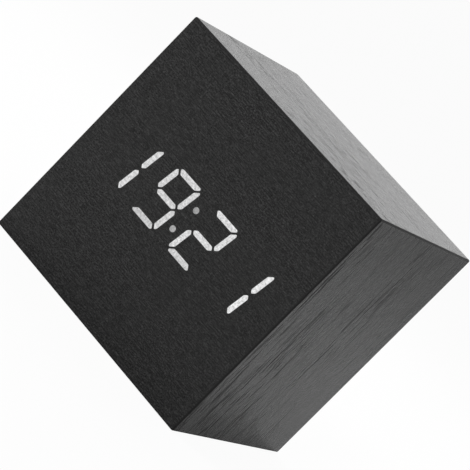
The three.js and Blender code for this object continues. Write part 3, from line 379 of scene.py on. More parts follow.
def rounded(points):
    """An outline whose corners are cut by short arcs."""
    soft = []
    for i, corner in enumerate(points):
        here = Vector(corner)
        before = Vector(points[i - 1]) - here
        after = Vector(points[(i + 1) % len(points)]) - here
        reach = min(corner_rounding, corner_reach * before.length, corner_reach * after.length)
        start = here + before.normalized() * reach
        end = here + after.normalized() * reach
        for step in range(rounding_steps + 1):
            share = step / rounding_steps
            soft.append(start * (1 - share) ** 2 + here * 2 * share * (1 - share) + end * share ** 2)
    return soft


def lit_outlines(place, y):
    """Each lit segment of one digit, with the light that it gives."""
    shapes = segment_outlines()
    middle = node_middle(f"lit_digit_{place + 1}") + light_shift
    outlines = []
    for letter in lit_segments[time_shown[place]]:
        share = digit_light[place] * (bottom_bar_share if letter == "d" else 1)
        outlines.append((placed(rounded(shapes[letter]), middle, y), share))
    return outlines


def dot_outlines(y):
    """The two dots of the colon, lower and upper, with the light that each gives."""
    middle = node_middle("lit_colon") + light_shift
    radius = dot_diameter / 2
    outlines = []
    for sign in (-1, 1):
        centre = middle + Vector((sign * dot_spacing / 2 * slant, 0, sign * dot_spacing / 2))
        turns = [2 * math.pi * i / dot_sides for i in range(dot_sides)]
        points = [
            (centre.x + radius * math.cos(turn), y, centre.z + radius * math.sin(turn)) for turn in turns
        ]
        outlines.append((points, dot_light[sign]))
    return outlines


def cut_outlines(bm, border, outlines):
    """Fills a flat border round closed outlines, and gives each outline one face of its own."""
    rings = []
    for points in outlines:
        corners = [bm.verts.new(point) for point in points]
        rings.append(corners)
    edges = [
        bm.edges.new((corner, corners[i - 1])) for corners in rings for i, corner in enumerate(corners)
    ]
    bmesh.ops.triangle_fill(bm, use_beauty=True, use_dissolve=False, edges=border + edges)
    return [bm.faces.new(corners) for corners in rings]


def light_faces(bm, face, outlines):
    """Cuts lit patches into a flat face. Their light fades out across a narrow rim."""
    light = bm.verts.layers.float["light"]
    border = face.edges[:]
    bmesh.ops.delete(bm, geom=[face], context="FACES_ONLY")
    patches = cut_outlines(bm, border, [points for points, share in outlines])
    for patch in patches:
        patch.normal_update()
    bmesh.ops.inset_individual(bm, faces=patches, thickness=light_rim, use_even_offset=True)
    for patch, (points, share) in zip(patches, outlines):
        for corner in patch.verts:
            corner[light] = share


def add_glow(tree, shader, mottling, dark_share):
    """Light that follows the patches, mottled by the wood or plastic that it passes through."""
    attribute = tree.nodes.new("ShaderNodeAttribute")
    attribute.attribute_name = "light"
    shade = spread(tree, mottling, *noise_span, 1, dark_share)
    amount = combined(tree, "MULTIPLY", attribute.outputs["Fac"], shade)
    glow = mixed_colour(tree, amount, (0, 0, 0, 1), lit_white)
    tree.links.new(glow, shader.inputs["Emission Color"])
    shader.inputs["Emission Strength"].default_value = 1


front_grain, front_tree, front_shader = veneer_material("veneer_lit_front", "X", front_figure)
add_glow(front_tree, front_shader, stretched_noise(front_tree, [lit_mottle] * 3, 3, 0.7), wood_dark_share)

front_sheet = veneer_sheet(sheet_sides["front"])
front_sheet.verts.layers.float.new("light")
front_face = max(front_sheet.faces, key=lambda face: -face.normal.y * face.calc_area())
front_y = cad_low.y
all_places = range(len(time_shown))
patches = [outline for place in all_places for outline in lit_outlines(place, front_y)]
light_faces(front_sheet, front_face, patches + dot_outlines(front_y))
finish_round_faces(front_sheet)
make_piece("front_veneer_sheet", front_sheet, [front_grain, arris], "clock", "veneer", "front_veneer")


# Panels: medium-density fibreboard, sawn and mitred, with a window milled into the front one. The raw
# edges that show round the back cover are stained black.

board_brown = (0.25, 0.155, 0.085, 1)
board_pale = (0.36, 0.25, 0.15, 1)
stain_black = (0.012, 0.0115, 0.011, 1)
board_roughness = 0.85
stained_roughness = 0.6
stain_start = 0.0275
fibre_speck = 0.00035


def dress(material, *names):
    """Gives CAD nodes their finish."""
    for name in names:
        nodes[name].material_slots[0].material = material


def fibreboard_material():
    """Pressed fibre with fine specks, and stain on the back edges only."""
    material, tree, shader = new_material("fibreboard", board_roughness)
    specks = stretched_noise(tree, [fibre_speck] * 3, 3)
    raw = mixed_colour(tree, spread(tree, specks, *band_span), board_brown, board_pale)
    stained = spread(tree, place_along(tree, "Y"), stain_start, stain_start + fibre_speck)
    colour = mixed_colour(tree, stained, raw, stain_black)
    tree.links.new(colour, shader.inputs["Base Color"])
    tree.links.new(
        spread(tree, stained, 0, 1, board_roughness, stained_roughness), shader.inputs["Roughness"])
    add_bump(tree, shader, specks, fibre_speck / 5)
    return material


dress(fibreboard_material(), *[side + "_panel" for side in sheet_sides])


# Corner blocks: four sticks of sawn softwood, glued into the corners for the back cover's screws.

pine_pale = (0.56, 0.37, 0.19, 1)
pine_dark = (0.40, 0.23, 0.10, 1)
ring_spacing = 0.0011
ring_length = 0.03
ring_span = (0.4, 0.6)


def softwood_material():
    """Pale and dark year rings that run along the stick."""
    material, tree, shader = new_material("softwood", 0.7)
    rings = stretched_noise(tree, [ring_spacing, ring_length, ring_spacing * 3], 2)
    colour = mixed_colour(tree, spread(tree, rings, *ring_span), pine_pale, pine_dark)
    tree.links.new(colour, shader.inputs["Base Color"])
    add_bump(tree, shader, rings, ring_spacing / 20)
    return material


dress(softwood_material(), *[
    f"corner_block_{level}_{side}" for level in ("lower", "upper") for side in ("left", "right")])


# Display, from the veneer inwards: a milky light guide behind each digit and behind the colon, a frosted
# film, and the white frame whose tapered cavities keep the light of one segment out of the next.

guide_edge = 0.00012
guide_white = (0.80, 0.81, 0.82, 1)
film_white = (0.83, 0.83, 0.80, 1)
frame_white = (0.76, 0.76, 0.73, 1)
fine_speck = 0.0002
guide_dark_share = 0.9
cloud_cells = 60


def moulded_material(name, colour, roughness, speck=fine_speck, depth=fine_speck / 20, variation=0.06):
    """Moulded plastic: a fine even grain from the tool, a little uneven in tone and gloss."""
    material, tree, shader = new_material(name, roughness)
    grain = stretched_noise(tree, [speck] * 3, 2)
    clouds = stretched_noise(tree, [speck * cloud_cells] * 3, 3)
    darker = tuple(part * (1 - 2 * variation) for part in colour[:3]) + (1,)
    lighter = tuple(part * (1 + 2 * variation) for part in colour[:3]) + (1,)
    tone = mixed_colour(tree, spread(tree, clouds, *noise_span), darker, lighter)
    tree.links.new(tone, shader.inputs["Base Color"])
    tree.links.new(
        spread(tree, grain, *noise_span, roughness * 0.9, roughness * 1.1), shader.inputs["Roughness"])
    add_bump(tree, shader, grain, depth)
    return material, tree, shader, clouds


guide_plastic, guide_tree, guide_shader, guide_clouds = moulded_material(
    "milky_light_guide", guide_white, 0.35)
add_glow(guide_tree, guide_shader, guide_clouds, guide_dark_share)


def light_guide(name, node, outlines_at):
    """A slanted plate with softened edges, lit where its segments are."""
    low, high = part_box(node)
    middle = (low + high) / 2
    front = low.y + veneer_thickness + mitre_gap
    half_z = (high.z - low.z) / 2
    half_x = (high.x - low.x) / 2 - half_z * slant
    corners = [(-half_x, -half_z), (half_x, -half_z), (half_x, half_z), (-half_x, half_z)]
    bm = bmesh.new()
    bm.verts.layers.float.new("light")
    base = bm.faces.new([bm.verts.new(point) for point in placed(corners, middle, high.y)])
    pulled = bmesh.ops.extrude_face_region(bm, geom=[base])
    moved = [item for item in pulled["geom"] if isinstance(item, bmesh.types.BMVert)]
    bmesh.ops.translate(bm, vec=(0, front - high.y, 0), verts=moved)
    bmesh.ops.holes_fill(bm, edges=[edge for edge in bm.edges if edge.is_boundary], sides=0)
    bmesh.ops.recalc_face_normals(bm, faces=bm.faces)
    bmesh.ops.bevel(
        bm, geom=bm.edges[:], offset=guide_edge, segments=2, profile=0.5, affect="EDGES", material=-1)
    face = max(bm.faces, key=lambda one: -one.normal.y * one.calc_area())
    light_faces(bm, face, outlines_at(front))
    make_piece(name, bm, [guide_plastic], "clock", "lit_lens", node)


for place in all_places:
    light_guide(
        f"light_guide_{place + 1}", f"lit_digit_{place + 1}",
        lambda front: lit_outlines(place, front))
light_guide("light_guide_colon", "lit_colon", dot_outlines)
dress(moulded_material("frosted_film", film_white, 0.6)[0], "diffuser_film")
dress(moulded_material("white_frame_plastic", frame_white, 0.5)[0], "segment_frame")


# Display board: glass-fibre laminate under green solder mask, with a white diode behind each segment, the
# controller chip and the buzzer soldered to its back, and two screws into the front panel.

mask_green = (0.012, 0.085, 0.035, 1)
track_green = (0.03, 0.16, 0.06, 1)
laminate_edge = (0.33, 0.36, 0.20, 1)
diode_white = (0.85, 0.84, 0.74, 1)
track_width = 0.00035
track_pitch = 0.0011
track_length = 0.0095
track_height = 0.00003
track_shift = 0.37
track_squash = 0.45
squashed_row = 3
mask_edge = 0.00002
epoxy_roughness = 0.55
epoxy_black = (0.012, 0.012, 0.0125, 1)
epoxy_pale = (0.02, 0.02, 0.021, 1)
chip_leg_reach = 0.00098
leg_roughness = 0.3
epoxy_relief = 0.00001
metal_shade = 0.82
lay_relief = 0.000008
tin_grey = (0.62, 0.62, 0.61, 1)


def beyond(tree, axis, limit, sign):
    """One where the coordinate along an axis is past a limit, on the side that the sign gives."""
    if sign > 0:
        return spread(tree, place_along(tree, axis), limit, limit + mask_edge)
    return spread(tree, place_along(tree, axis), limit - mask_edge, limit, 1, 0)


def board_material(name, low, high, diode_front=None):
    """Solder mask over copper tracks on both faces; the sawn edge shows the laminate."""
    material, tree, shader = new_material(name, 0.35)
    coordinates = tree.nodes.new("ShaderNodeTexCoord")
    upright = tree.nodes.new("ShaderNodeMapping")
    upright.inputs["Rotation"].default_value = (math.pi / 2, 0, 0)
    lines = tree.nodes.new("ShaderNodeTexBrick")
    lines.offset = track_shift
    lines.squash = track_squash
    lines.squash_frequency = squashed_row
    lines.inputs["Scale"].default_value = 1
    lines.inputs["Mortar Size"].default_value = track_width / 2
    lines.inputs["Mortar Smooth"].default_value = 0.2
    lines.inputs["Brick Width"].default_value = track_length
    lines.inputs["Row Height"].default_value = track_pitch
    tree.links.new(coordinates.outputs["Object"], upright.inputs["Vector"])
    tree.links.new(upright.outputs["Vector"], lines.inputs["Vector"])
    tracks = lines.outputs["Fac"]
    colour = mixed_colour(tree, tracks, mask_green, track_green)
    edge = mitre_gap * 2
    for axis, from_low, to_high in (("X", low.x, high.x), ("Z", low.z, high.z)):
        colour = mixed_colour(tree, beyond(tree, axis, from_low + edge, -1), colour, laminate_edge)
        colour = mixed_colour(tree, beyond(tree, axis, to_high - edge, 1), colour, laminate_edge)
    if diode_front is not None:
        colour = mixed_colour(tree, beyond(tree, "Y", diode_front, -1), colour, diode_white)
    tree.links.new(colour, shader.inputs["Base Color"])
    add_bump(tree, shader, tracks, track_height)
    return material


display_board_low, display_board_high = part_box("display_board")
board_thickness = 0.0016
dress(
    board_material(
        "display_board", display_board_low, display_board_high,
        display_board_high.y - board_thickness - mitre_gap),
    "display_board")


def metal_material(name, colour, roughness, lay):
    """Plated or turned metal: fine lines along the lay of the work, and a faint uneven gloss."""
    material, tree, shader = new_material(name, roughness, 1.0)
    lines = stretched_noise(tree, lay, 3)
    clouds = stretched_noise(tree, [0.002] * 3, 2)
    darker = tuple(part * metal_shade for part in colour[:3]) + (1,)
    tone = mixed_colour(tree, spread(tree, clouds, *noise_span), darker, colour)
    tree.links.new(tone, shader.inputs["Base Color"])
    tree.links.new(
        spread(tree, lines, *noise_span, roughness * 0.75, roughness * 1.3), shader.inputs["Roughness"])
    add_bump(tree, shader, lines, lay_relief)
    return material


def chip_material():
    """Moulded epoxy between two rows of tinned legs."""
    material, tree, shader = new_material("chip_epoxy_and_legs", epoxy_roughness)
    low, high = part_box("controller_chip")
    upper = beyond(tree, "Z", high.z - chip_leg_reach, 1)
    lower = beyond(tree, "Z", low.z + chip_leg_reach, -1)
    legs = combined(tree, "MAXIMUM", upper, lower)
    grain = stretched_noise(tree, [fine_speck] * 3, 2)
    epoxy = mixed_colour(tree, grain, epoxy_black, epoxy_pale)
    tree.links.new(mixed_colour(tree, legs, epoxy, tin_grey), shader.inputs["Base Color"])
    tree.links.new(legs, shader.inputs["Metallic"])
    tree.links.new(spread(tree, legs, 0, 1, epoxy_roughness, leg_roughness), shader.inputs["Roughness"])
    add_bump(tree, shader, grain, epoxy_relief)
    return material


black_plastic = (0.0105, 0.0105, 0.011, 1)
zinc_grey = (0.60, 0.61, 0.63, 1)
# Painted shade: a dark grey steel for the inside of the cross recesses, much darker than the zinc plating.
painted_shade_grey = (0.09, 0.09, 0.095, 1)
zinc_steel = metal_material("zinc_plated_steel", zinc_grey, 0.32, [0.0004, 0.00008, 0.0004])
painted_shade_recess_steel = metal_material("painted_shade_recess_steel", painted_shade_grey, 0.5, [0.0001] * 3)
dress(chip_material(), "controller_chip")
dress(moulded_material("buzzer_plastic", black_plastic, 0.4)[0], "buzzer")


# Screws: zinc-plated steel with a cross recess, driven into their pilot holes. Four hold the back cover,
# two the display board and two the button board.

# The inside of each cross recess is painted dark grey as shade; it has the same plating as the head.
round_steps = 48
point_length = 0.0016
thread_run_out = 0.0002
recess_depth_share = 0.6
recess_taper = 0.6
merge_distance = 1e-7
cover_screw_size = {
    "head": 0.0038, "shank": 0.002, "head_height": 0.0012, "slot": 0.0022, "slot_width": 0.0005}
board_screw_size = {
    "head": 0.003, "shank": 0.0016, "head_height": 0.001, "slot": 0.0017, "slot_width": 0.0004}


def turned_shape(bm, profile, middle):
    """Spins a profile of radius and Y round an axis along Y."""
    corners = [bm.verts.new((middle.x + radius, y, middle.z)) for radius, y in profile]
    edges = [bm.edges.new(pair) for pair in zip(corners, corners[1:])]
    bmesh.ops.spin(
        bm, geom=corners + edges, cent=(middle.x, 0, middle.z), axis=(0, 1, 0), angle=2 * math.pi,
        steps=round_steps, use_merge=True)
    bmesh.ops.remove_doubles(bm, verts=bm.verts, dist=merge_distance)


def turned_screw(name, node, sign, head, shank, head_height, slot, slot_width):
    """A crowned head with a cross recess painted dark as shade. The sign says which way along Y the head
    looks.
    """
    low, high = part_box(node)
    middle = (low + high) / 2
    top = high.y if sign > 0 else low.y
    length = high.y - low.y
    bm = bmesh.new()
    turned_shape(bm, [
        (0.35 * head, top), (0.44 * head, top - sign * 0.12 * head_height),
        (0.5 * head, top - sign * 0.4 * head_height), (0.5 * head, top - sign * head_height),
        (0.5 * shank + thread_run_out, top - sign * head_height),
        (0.5 * shank, top - sign * (head_height + thread_run_out)),
        (0.5 * shank, top - sign * (length - point_length)), (0, top - sign * length),
    ], middle)
    rim = [edge for edge in bm.edges if edge.is_boundary]
    half = slot_width / 2
    arm = slot / 2
    cross = [
        (arm, -half), (arm, half), (half, half), (half, arm), (-half, arm), (-half, half),
        (-arm, half), (-arm, -half), (-half, -half), (-half, -arm), (half, -arm), (half, -half),
    ]
    recess = cut_outlines(bm, rim, [[(middle.x + u, top, middle.z + v) for u, v in cross]])
    floor = bmesh.ops.extrude_face_region(bm, geom=recess)
    deep = [item for item in floor["geom"] if isinstance(item, bmesh.types.BMVert)]
    bmesh.ops.delete(bm, geom=recess, context="FACES_ONLY")
    # The walls and floor of the recess take the second material, the painted shade.
    for corner in deep:
        for face in corner.link_faces:
            face.material_index = 1
    bmesh.ops.translate(bm, vec=(0, -sign * recess_depth_share * head_height, 0), verts=deep)
    bmesh.ops.scale(
        bm, vec=(recess_taper, 1, recess_taper), verts=deep,
        space=Matrix.Translation((-middle.x, 0, -middle.z)))
    for face in bm.faces:
        face.smooth = len(face.verts) == 4 and abs(face.normal.y) < 0.95
    make_piece(name, bm, [zinc_steel, painted_shade_recess_steel], "clock", "steel", node)


for i in range(4):
    turned_screw(f"cover_cross_screw_{i + 1}", f"cover_screw_{i + 1}", 1, **cover_screw_size)
for node, sign in (
    ("display_screw_1", 1), ("display_screw_2", 1), ("board_screw_1", -1), ("board_screw_2", -1),
):
    turned_screw(node.replace("_screw_", "_cross_screw_"), node, sign, **board_screw_size)


# Back cover, battery door and latch: black plastic, injection moulded in a spark-eroded tool, so the
# surface has a fine even grain and every edge is slightly rounded.

moulded_edge = 0.00012
eroded_speck = 0.00022
weld_distance = 1e-6
sharp_angle = math.radians(40)


def soften_edges(name, width=moulded_edge):
    """Welds a CAD node's triangles and rounds its sharp edges."""
    node = nodes[name]
    weld = node.modifiers.new("weld", "WELD")
    weld.merge_threshold = weld_distance
    bevel = node.modifiers.new("rounded edges", "BEVEL")
    bevel.width = width
    bevel.segments = 2
    bevel.limit_method = "ANGLE"
    bevel.angle_limit = sharp_angle
    bevel.use_clamp_overlap = True


cover_plastic = moulded_material(
    "spark_eroded_black_plastic", black_plastic, 0.5, eroded_speck, eroded_speck / 8, 0.05)[0]
dress(cover_plastic, "back_cover", "battery_door", "door_latch")
for name in ("back_cover", "battery_door", "door_latch"):
    soften_edges(name)


# Marks: three small raised signs moulded on the cover below the buttons, a ring for setting the time and
# two arrowheads for down and up. They are part of the cover and have its colour.

mark_drop = 0.0043
mark_size = 0.0006
mark_height = 0.00018
mark_sink = 0.00005
mark_edge = 0.00005
ring_radius = mark_size * 0.8
ring_share = 0.55
ring_steps = 28
cover_face_y = 0.029


def ring_points(radius):
    """Points round a circle."""
    turns = [2 * math.pi * i / ring_steps for i in range(ring_steps)]
    return [(radius * math.cos(turn), radius * math.sin(turn)) for turn in turns]


def raised_mark(name, button, outlines):
    """Raises a flat outline, with or without a hole, from the face of the cover."""
    middle = node_middle(button)
    bm = bmesh.new()
    edges = []
    for points in outlines:
        corners = [
            bm.verts.new((middle.x + u, cover_face_y - mark_sink, middle.z - mark_drop + v))
            for u, v in points
        ]
        edges += [bm.edges.new((corner, corners[i - 1])) for i, corner in enumerate(corners)]
    base = bmesh.ops.triangle_fill(bm, use_beauty=True, use_dissolve=False, edges=edges)
    faces = [item for item in base["geom"] if isinstance(item, bmesh.types.BMFace)]
    raised = bmesh.ops.extrude_face_region(bm, geom=faces, use_keep_orig=True)
    tops = [item for item in raised["geom"] if isinstance(item, bmesh.types.BMVert)]
    bmesh.ops.translate(bm, vec=(0, mark_sink + mark_height, 0), verts=tops)
    bmesh.ops.recalc_face_normals(bm, faces=bm.faces)
    rims = [
        edge for edge in bm.edges
        if edge.verts[0] in tops and edge.verts[1] in tops and edge.calc_face_angle(0) > 1
    ]
    bmesh.ops.bevel(
        bm, geom=rims, offset=mark_edge, segments=2, profile=0.5, affect="EDGES", material=-1)
    make_piece(name, bm, [cover_plastic], "clock", "black_plastic")


arrow = [(-mark_size, -0.5 * mark_size), (mark_size, -0.5 * mark_size), (0, 0.6 * mark_size)]
raised_mark("mark_set", "button_set", [ring_points(ring_radius), ring_points(ring_radius * ring_share)])
raised_mark("mark_down", "button_down", [[(u, -v) for u, v in arrow]])
raised_mark("mark_up", "button_up", [arrow])


# Cells and their contacts: three steel cans in plain shrunk sleeves, conical springs and stamped plates
# of nickel-plated steel.

cell_diameter = 0.0105
cell_shoulder = 0.0006
nub_diameter = 0.0038
nub_height = 0.001
band_start = 0.72
sleeve_blue = (0.035, 0.075, 0.16, 1)
sleeve_pale_blue = (0.045, 0.09, 0.19, 1)
sleeve_band = (0.45, 0.22, 0.08, 1)
sleeve_pale_band = (0.52, 0.27, 0.10, 1)
sleeve_grain = (0.004, 0.0006, 0.0006)
sleeve_relief = 0.00002
nickel_grey = (0.72, 0.71, 0.68, 1)
spring_wire = 0.00045
spring_narrow = 0.0034
spring_wide = 0.0076
spring_taper = (spring_narrow - spring_wire) / (spring_wide - spring_wire)
spring_turns = 3
spring_steps = 24
plated_nickel = metal_material("nickel_plate", nickel_grey, 0.24, [0.0003] * 3)
can_steel = metal_material("cell_can_steel", tin_grey, 0.3, [0.0002, 0.001, 0.001])


def sleeve_material():
    """Plain shrink film over most of the can."""
    material, tree, shader = new_material("cell_sleeve", 0.28)
    grain = stretched_noise(tree, sleeve_grain, 2)
    blue = mixed_colour(tree, spread(tree, grain, *noise_span), sleeve_blue, sleeve_pale_blue)
    tree.links.new(blue, shader.inputs["Base Color"])
    shader.inputs["Coat Weight"].default_value = 0.4
    add_bump(tree, shader, grain, sleeve_relief)
    return material


def band_material():
    """The film's metallic band towards the nub."""
    material, tree, shader = new_material("cell_sleeve_band", 0.3, 0.6)
    grain = stretched_noise(tree, sleeve_grain, 2)
    copper = mixed_colour(tree, spread(tree, grain, *noise_span), sleeve_band, sleeve_pale_band)
    tree.links.new(copper, shader.inputs["Base Color"])
    add_bump(tree, shader, grain, sleeve_relief)
    return material


def turned_cell(name, node, sign):
    """A can in its sleeve, with the nub at the end that the sign gives."""
    low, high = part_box(node)
    middle = (low + high) / 2
    length = high.x - low.x
    radius = cell_diameter / 2
    nub = nub_diameter / 2
    bm = bmesh.new()
    profile = [
        (0, 0), (radius - 2 * cell_shoulder, 0), (radius - cell_shoulder, 0.00006),
        (radius - 0.3 * cell_shoulder, 0.3 * cell_shoulder), (radius, cell_shoulder),
        (radius, band_start * length), (radius, length - nub_height - cell_shoulder),
        (radius - 0.3 * cell_shoulder, length - nub_height - 0.3 * cell_shoulder),
        (radius - cell_shoulder, length - nub_height), (nub + 0.0006, length - nub_height - 0.0001),
        (nub, length - nub_height), (nub, length - 0.0003), (nub - 0.0003, length), (0, length),
    ]
    start = low.x if sign > 0 else high.x
    corners = [bm.verts.new((start + sign * along, middle.y, middle.z + out)) for out, along in profile]
    edges = [bm.edges.new(pair) for pair in zip(corners, corners[1:])]
    bmesh.ops.spin(
        bm, geom=corners + edges, cent=(0, middle.y, middle.z), axis=(1, 0, 0), angle=2 * math.pi,
        steps=round_steps, use_merge=True)
    bmesh.ops.remove_doubles(bm, verts=bm.verts, dist=merge_distance)
    for face in bm.faces:
        centre = face.calc_center_median()
        out = math.hypot(centre.y - middle.y, centre.z - middle.z)
        along = sign * (centre.x - start)
        is_sleeve = out > radius - 0.9 * cell_shoulder
        face.material_index = (2 if along > band_start * length else 1) if is_sleeve else 0
        face.smooth = True
    make_piece(name, bm, [can_steel, sleeve_film, band_film], "clock", "cell_sleeve", node)


def tube(name, points, diameter, material, node, sides=8):
    """A round wire along a list of points."""
    curve = bpy.data.curves.new(name, "CURVE")
    curve.dimensions = "3D"
    curve.bevel_depth = diameter / 2
    curve.bevel_resolution = sides // 4
    curve.use_fill_caps = True
    spline = curve.splines.new("POLY")
    spline.points.add(len(points) - 1)
    for control, point in zip(spline.points, points):
        control.co = (*point, 1)
    curve.materials.append(material)
    piece = bpy.data.objects.new(name, curve)
    bpy.context.scene.collection.objects.link(piece)
    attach(piece, "clock")
    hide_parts(node)


sleeve_film = sleeve_material()
band_film = band_material()
for i in range(3):
    turned_cell(f"cell_{i + 1}", f"battery_{i + 1}", -1 if i % 2 else 1)

for i in range(3):
    node = f"contact_spring_{i + 1}"
    low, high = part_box(node)
    sign = -1 if i % 2 else 1
    axis = node_middle(f"battery_{i + 1}")
    wide = (high.y - low.y - spring_wire) / 2
    narrow = wide * spring_taper
    points = []
    count = spring_turns * spring_steps
    for step in range(count + 1):
        share = step / count
        turn = 2 * math.pi * step / spring_steps
        radius = wide + (narrow - wide) * share
        rise = spring_wire / 2 + (high.x - low.x - spring_wire) * share
        x = low.x + rise if sign > 0 else high.x - rise
        points.append((x, axis.y + radius * math.cos(turn), axis.z + radius * math.sin(turn)))
    tube(f"conical_spring_{i + 1}", points, spring_wire, plated_nickel, node)

dress(plated_nickel, "contact_positive", "contact_bridge_right", "contact_bridge_left", "contact_negative")


# Buttons and switches: three turned caps of satin black plastic in the back cover, each on the plunger of
# a switch on the button board.

cap_diameter = 0.0046
flange_diameter = 0.006
stem_diameter = 0.0026
flange_outer_y = 0.02685
flange_inner_y = 0.02605
cap_edge = 0.0003
cap_dish = 0.00022
button_plastic = moulded_material("satin_button_plastic", (0.022, 0.022, 0.0225, 1), 0.38)[0]
switch_plastic = moulded_material("switch_plastic", (0.016, 0.016, 0.0165, 1), 0.5)[0]


def turned_button(name, node, body):
    """A cap with a dished face, a flange behind the cover, and a stem on the switch plunger."""
    middle = node_middle(node)
    cap = cap_diameter / 2
    flange = flange_diameter / 2
    stem = stem_diameter / 2
    low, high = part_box(node)
    profile = [
        (0, low.y), (stem, low.y), (stem, flange_inner_y), (flange, flange_inner_y),
        (flange, flange_outer_y), (cap, flange_outer_y), (cap, high.y - cap_edge),
        (cap - 0.3 * cap_edge, high.y - 0.3 * cap_edge),
        (cap - cap_edge, high.y), (cap - 2 * cap_edge, high.y - 0.3 * cap_dish),
        (0.5 * cap, high.y - 0.8 * cap_dish), (0, high.y - cap_dish),
    ]
    bm = bmesh.new()
    turned_shape(bm, profile, middle)
    for face in bm.faces:
        face.smooth = face.calc_center_median().y > flange_outer_y
    make_piece(name, bm, [button_plastic], body, "button_plastic", node)


for name in ("set", "down", "up"):
    turned_button(f"button_cap_{name}", f"button_{name}", f"button_{name}")
    dress(switch_plastic, f"switch_plunger_{name}", f"switch_{name}")


# Button board: the same laminate as the display board, with the power socket, the microphone that lets a
# clap light the display, and the wires to the cells and to the display board.

wire_red = (0.42, 0.02, 0.012, 1)
wire_black = (0.012, 0.012, 0.012, 1)
ribbon_grey = (0.33, 0.34, 0.35, 1)
lead_diameter = 0.0012
lead_straight = 0.0014
ribbon_width = 0.011
ribbon_thickness = 0.0009
ribbon_web = 0.0005
ribbon_wires = 11
rib_steps = 6
route_steps = 10
insulation_relief = 0.00002
positive_tail = Vector((0.02385, 0.0133, 0.02))
positive_pad = Vector((0.01415, 0.0182, 0.0539))
positive_bends = ((0.1, -0.66, 0.16), (0.4, -0.74, 0.52), (0.8, -0.4, 0.86))
negative_tail = Vector((-0.02385, 0.0133, 0.0418))
negative_pad = Vector((-0.01415, 0.0182, 0.0539))
negative_bends = ((0.14, -0.52, 0.24), (0.6, -0.3, 0.72))
cable_start = Vector((0, -0.0233, 0.0431))
cable_end = Vector((0, 0.01825, 0.0539))
cable_bends = ((0, 0.07, 0), (0, 0.22, 0.18), (0, 0.46, 0.74), (0, 0.76, 1.04), (0, 0.93, 1))
socket_wall = 0.00035
socket_roughness = 0.25
tongue_roughness = 0.5
socket_relief = 0.000006
dull_nickel = (0.6, 0.59, 0.56, 1)
button_board_low, button_board_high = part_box("button_board")
dress(board_material("button_board", button_board_low, button_board_high), "button_board")


def socket_material():
    """A folded nickel-plated shell round a black tongue."""
    material, tree, shader = new_material("socket_shell_and_tongue", socket_roughness)
    low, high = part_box("usb_socket")
    tongue = beyond(tree, "X", low.x + 4 * socket_wall, 1)
    for axis, limit, sign in (
        ("X", high.x - 4 * socket_wall, -1), ("Z", low.z + socket_wall, 1), ("Z", high.z - socket_wall, -1),
    ):
        tongue = combined(tree, "MULTIPLY", tongue, beyond(tree, axis, limit, sign))
    grain = stretched_noise(tree, [0.0004, 0.0001, 0.0004], 2)
    nickel = mixed_colour(tree, grain, dull_nickel, nickel_grey)
    tree.links.new(mixed_colour(tree, tongue, nickel, black_plastic), shader.inputs["Base Color"])
    tree.links.new(spread(tree, tongue, 0, 1, 1, 0), shader.inputs["Metallic"])
    tree.links.new(
        spread(tree, tongue, 0, 1, socket_roughness, tongue_roughness), shader.inputs["Roughness"])
    add_bump(tree, shader, grain, socket_relief)
    return material


dress(socket_material(), "usb_socket")
soften_edges("usb_socket", 0.00008)
dress(metal_material("microphone_can", tin_grey, 0.3, [0.0003] * 3), "microphone")


def wire_material(name, colour):
    """Extruded insulation: smooth, with faint waves along the wire."""
    material, tree, shader = new_material(name, 0.4)
    waves = stretched_noise(tree, [0.0012] * 3, 2)
    darker = tuple(part * 0.8 for part in colour[:3]) + (1,)
    tone = mixed_colour(tree, spread(tree, waves, *noise_span), darker, colour)
    tree.links.new(tone, shader.inputs["Base Color"])
    add_bump(tree, shader, waves, insulation_relief)
    return material


def curved_route(points):
    """A smooth route through a few points, whose bends are spaced by the roots of the distances."""
    ends = [points[0] * 2 - points[1]] + points + [points[-1] * 2 - points[-2]]
    route = []
    for before, start, end, after in zip(ends, ends[1:], ends[2:], ends[3:]):
        first, middle, last = [
            math.sqrt((far - near).length) for near, far in ((before, start), (start, end), (end, after))]
        leave = middle * (
            (start - before) / first - (end - before) / (first + middle) + (end - start) / middle)
        arrive = middle * (
            (end - start) / middle - (after - start) / (middle + last) + (after - end) / last)
        for step in range(route_steps):
            t = step / route_steps
            route.append(
                start * (2 * t ** 3 - 3 * t ** 2 + 1) + leave * (t ** 3 - 2 * t ** 2 + t)
                + end * (3 * t ** 2 - 2 * t ** 3) + arrive * (t ** 3 - t ** 2))
    return route + [points[-1]]


def between_ends(start, end, shares):
    """Places given as shares of the way from the start to the end, along X, Y and Z."""
    return [Vector(start[i] + (end[i] - start[i]) * share[i] for i in range(3)) for share in shares]


def lead(name, start, end, shares, material, node):
    """A stranded wire, straight for a short way at both solder joints."""
    straight = Vector((0, -lead_straight, 0))
    points = [start, start + straight, *between_ends(start, end, shares), end + straight, end]
    tube(name, curved_route(points), lead_diameter, material, node, sides=16)


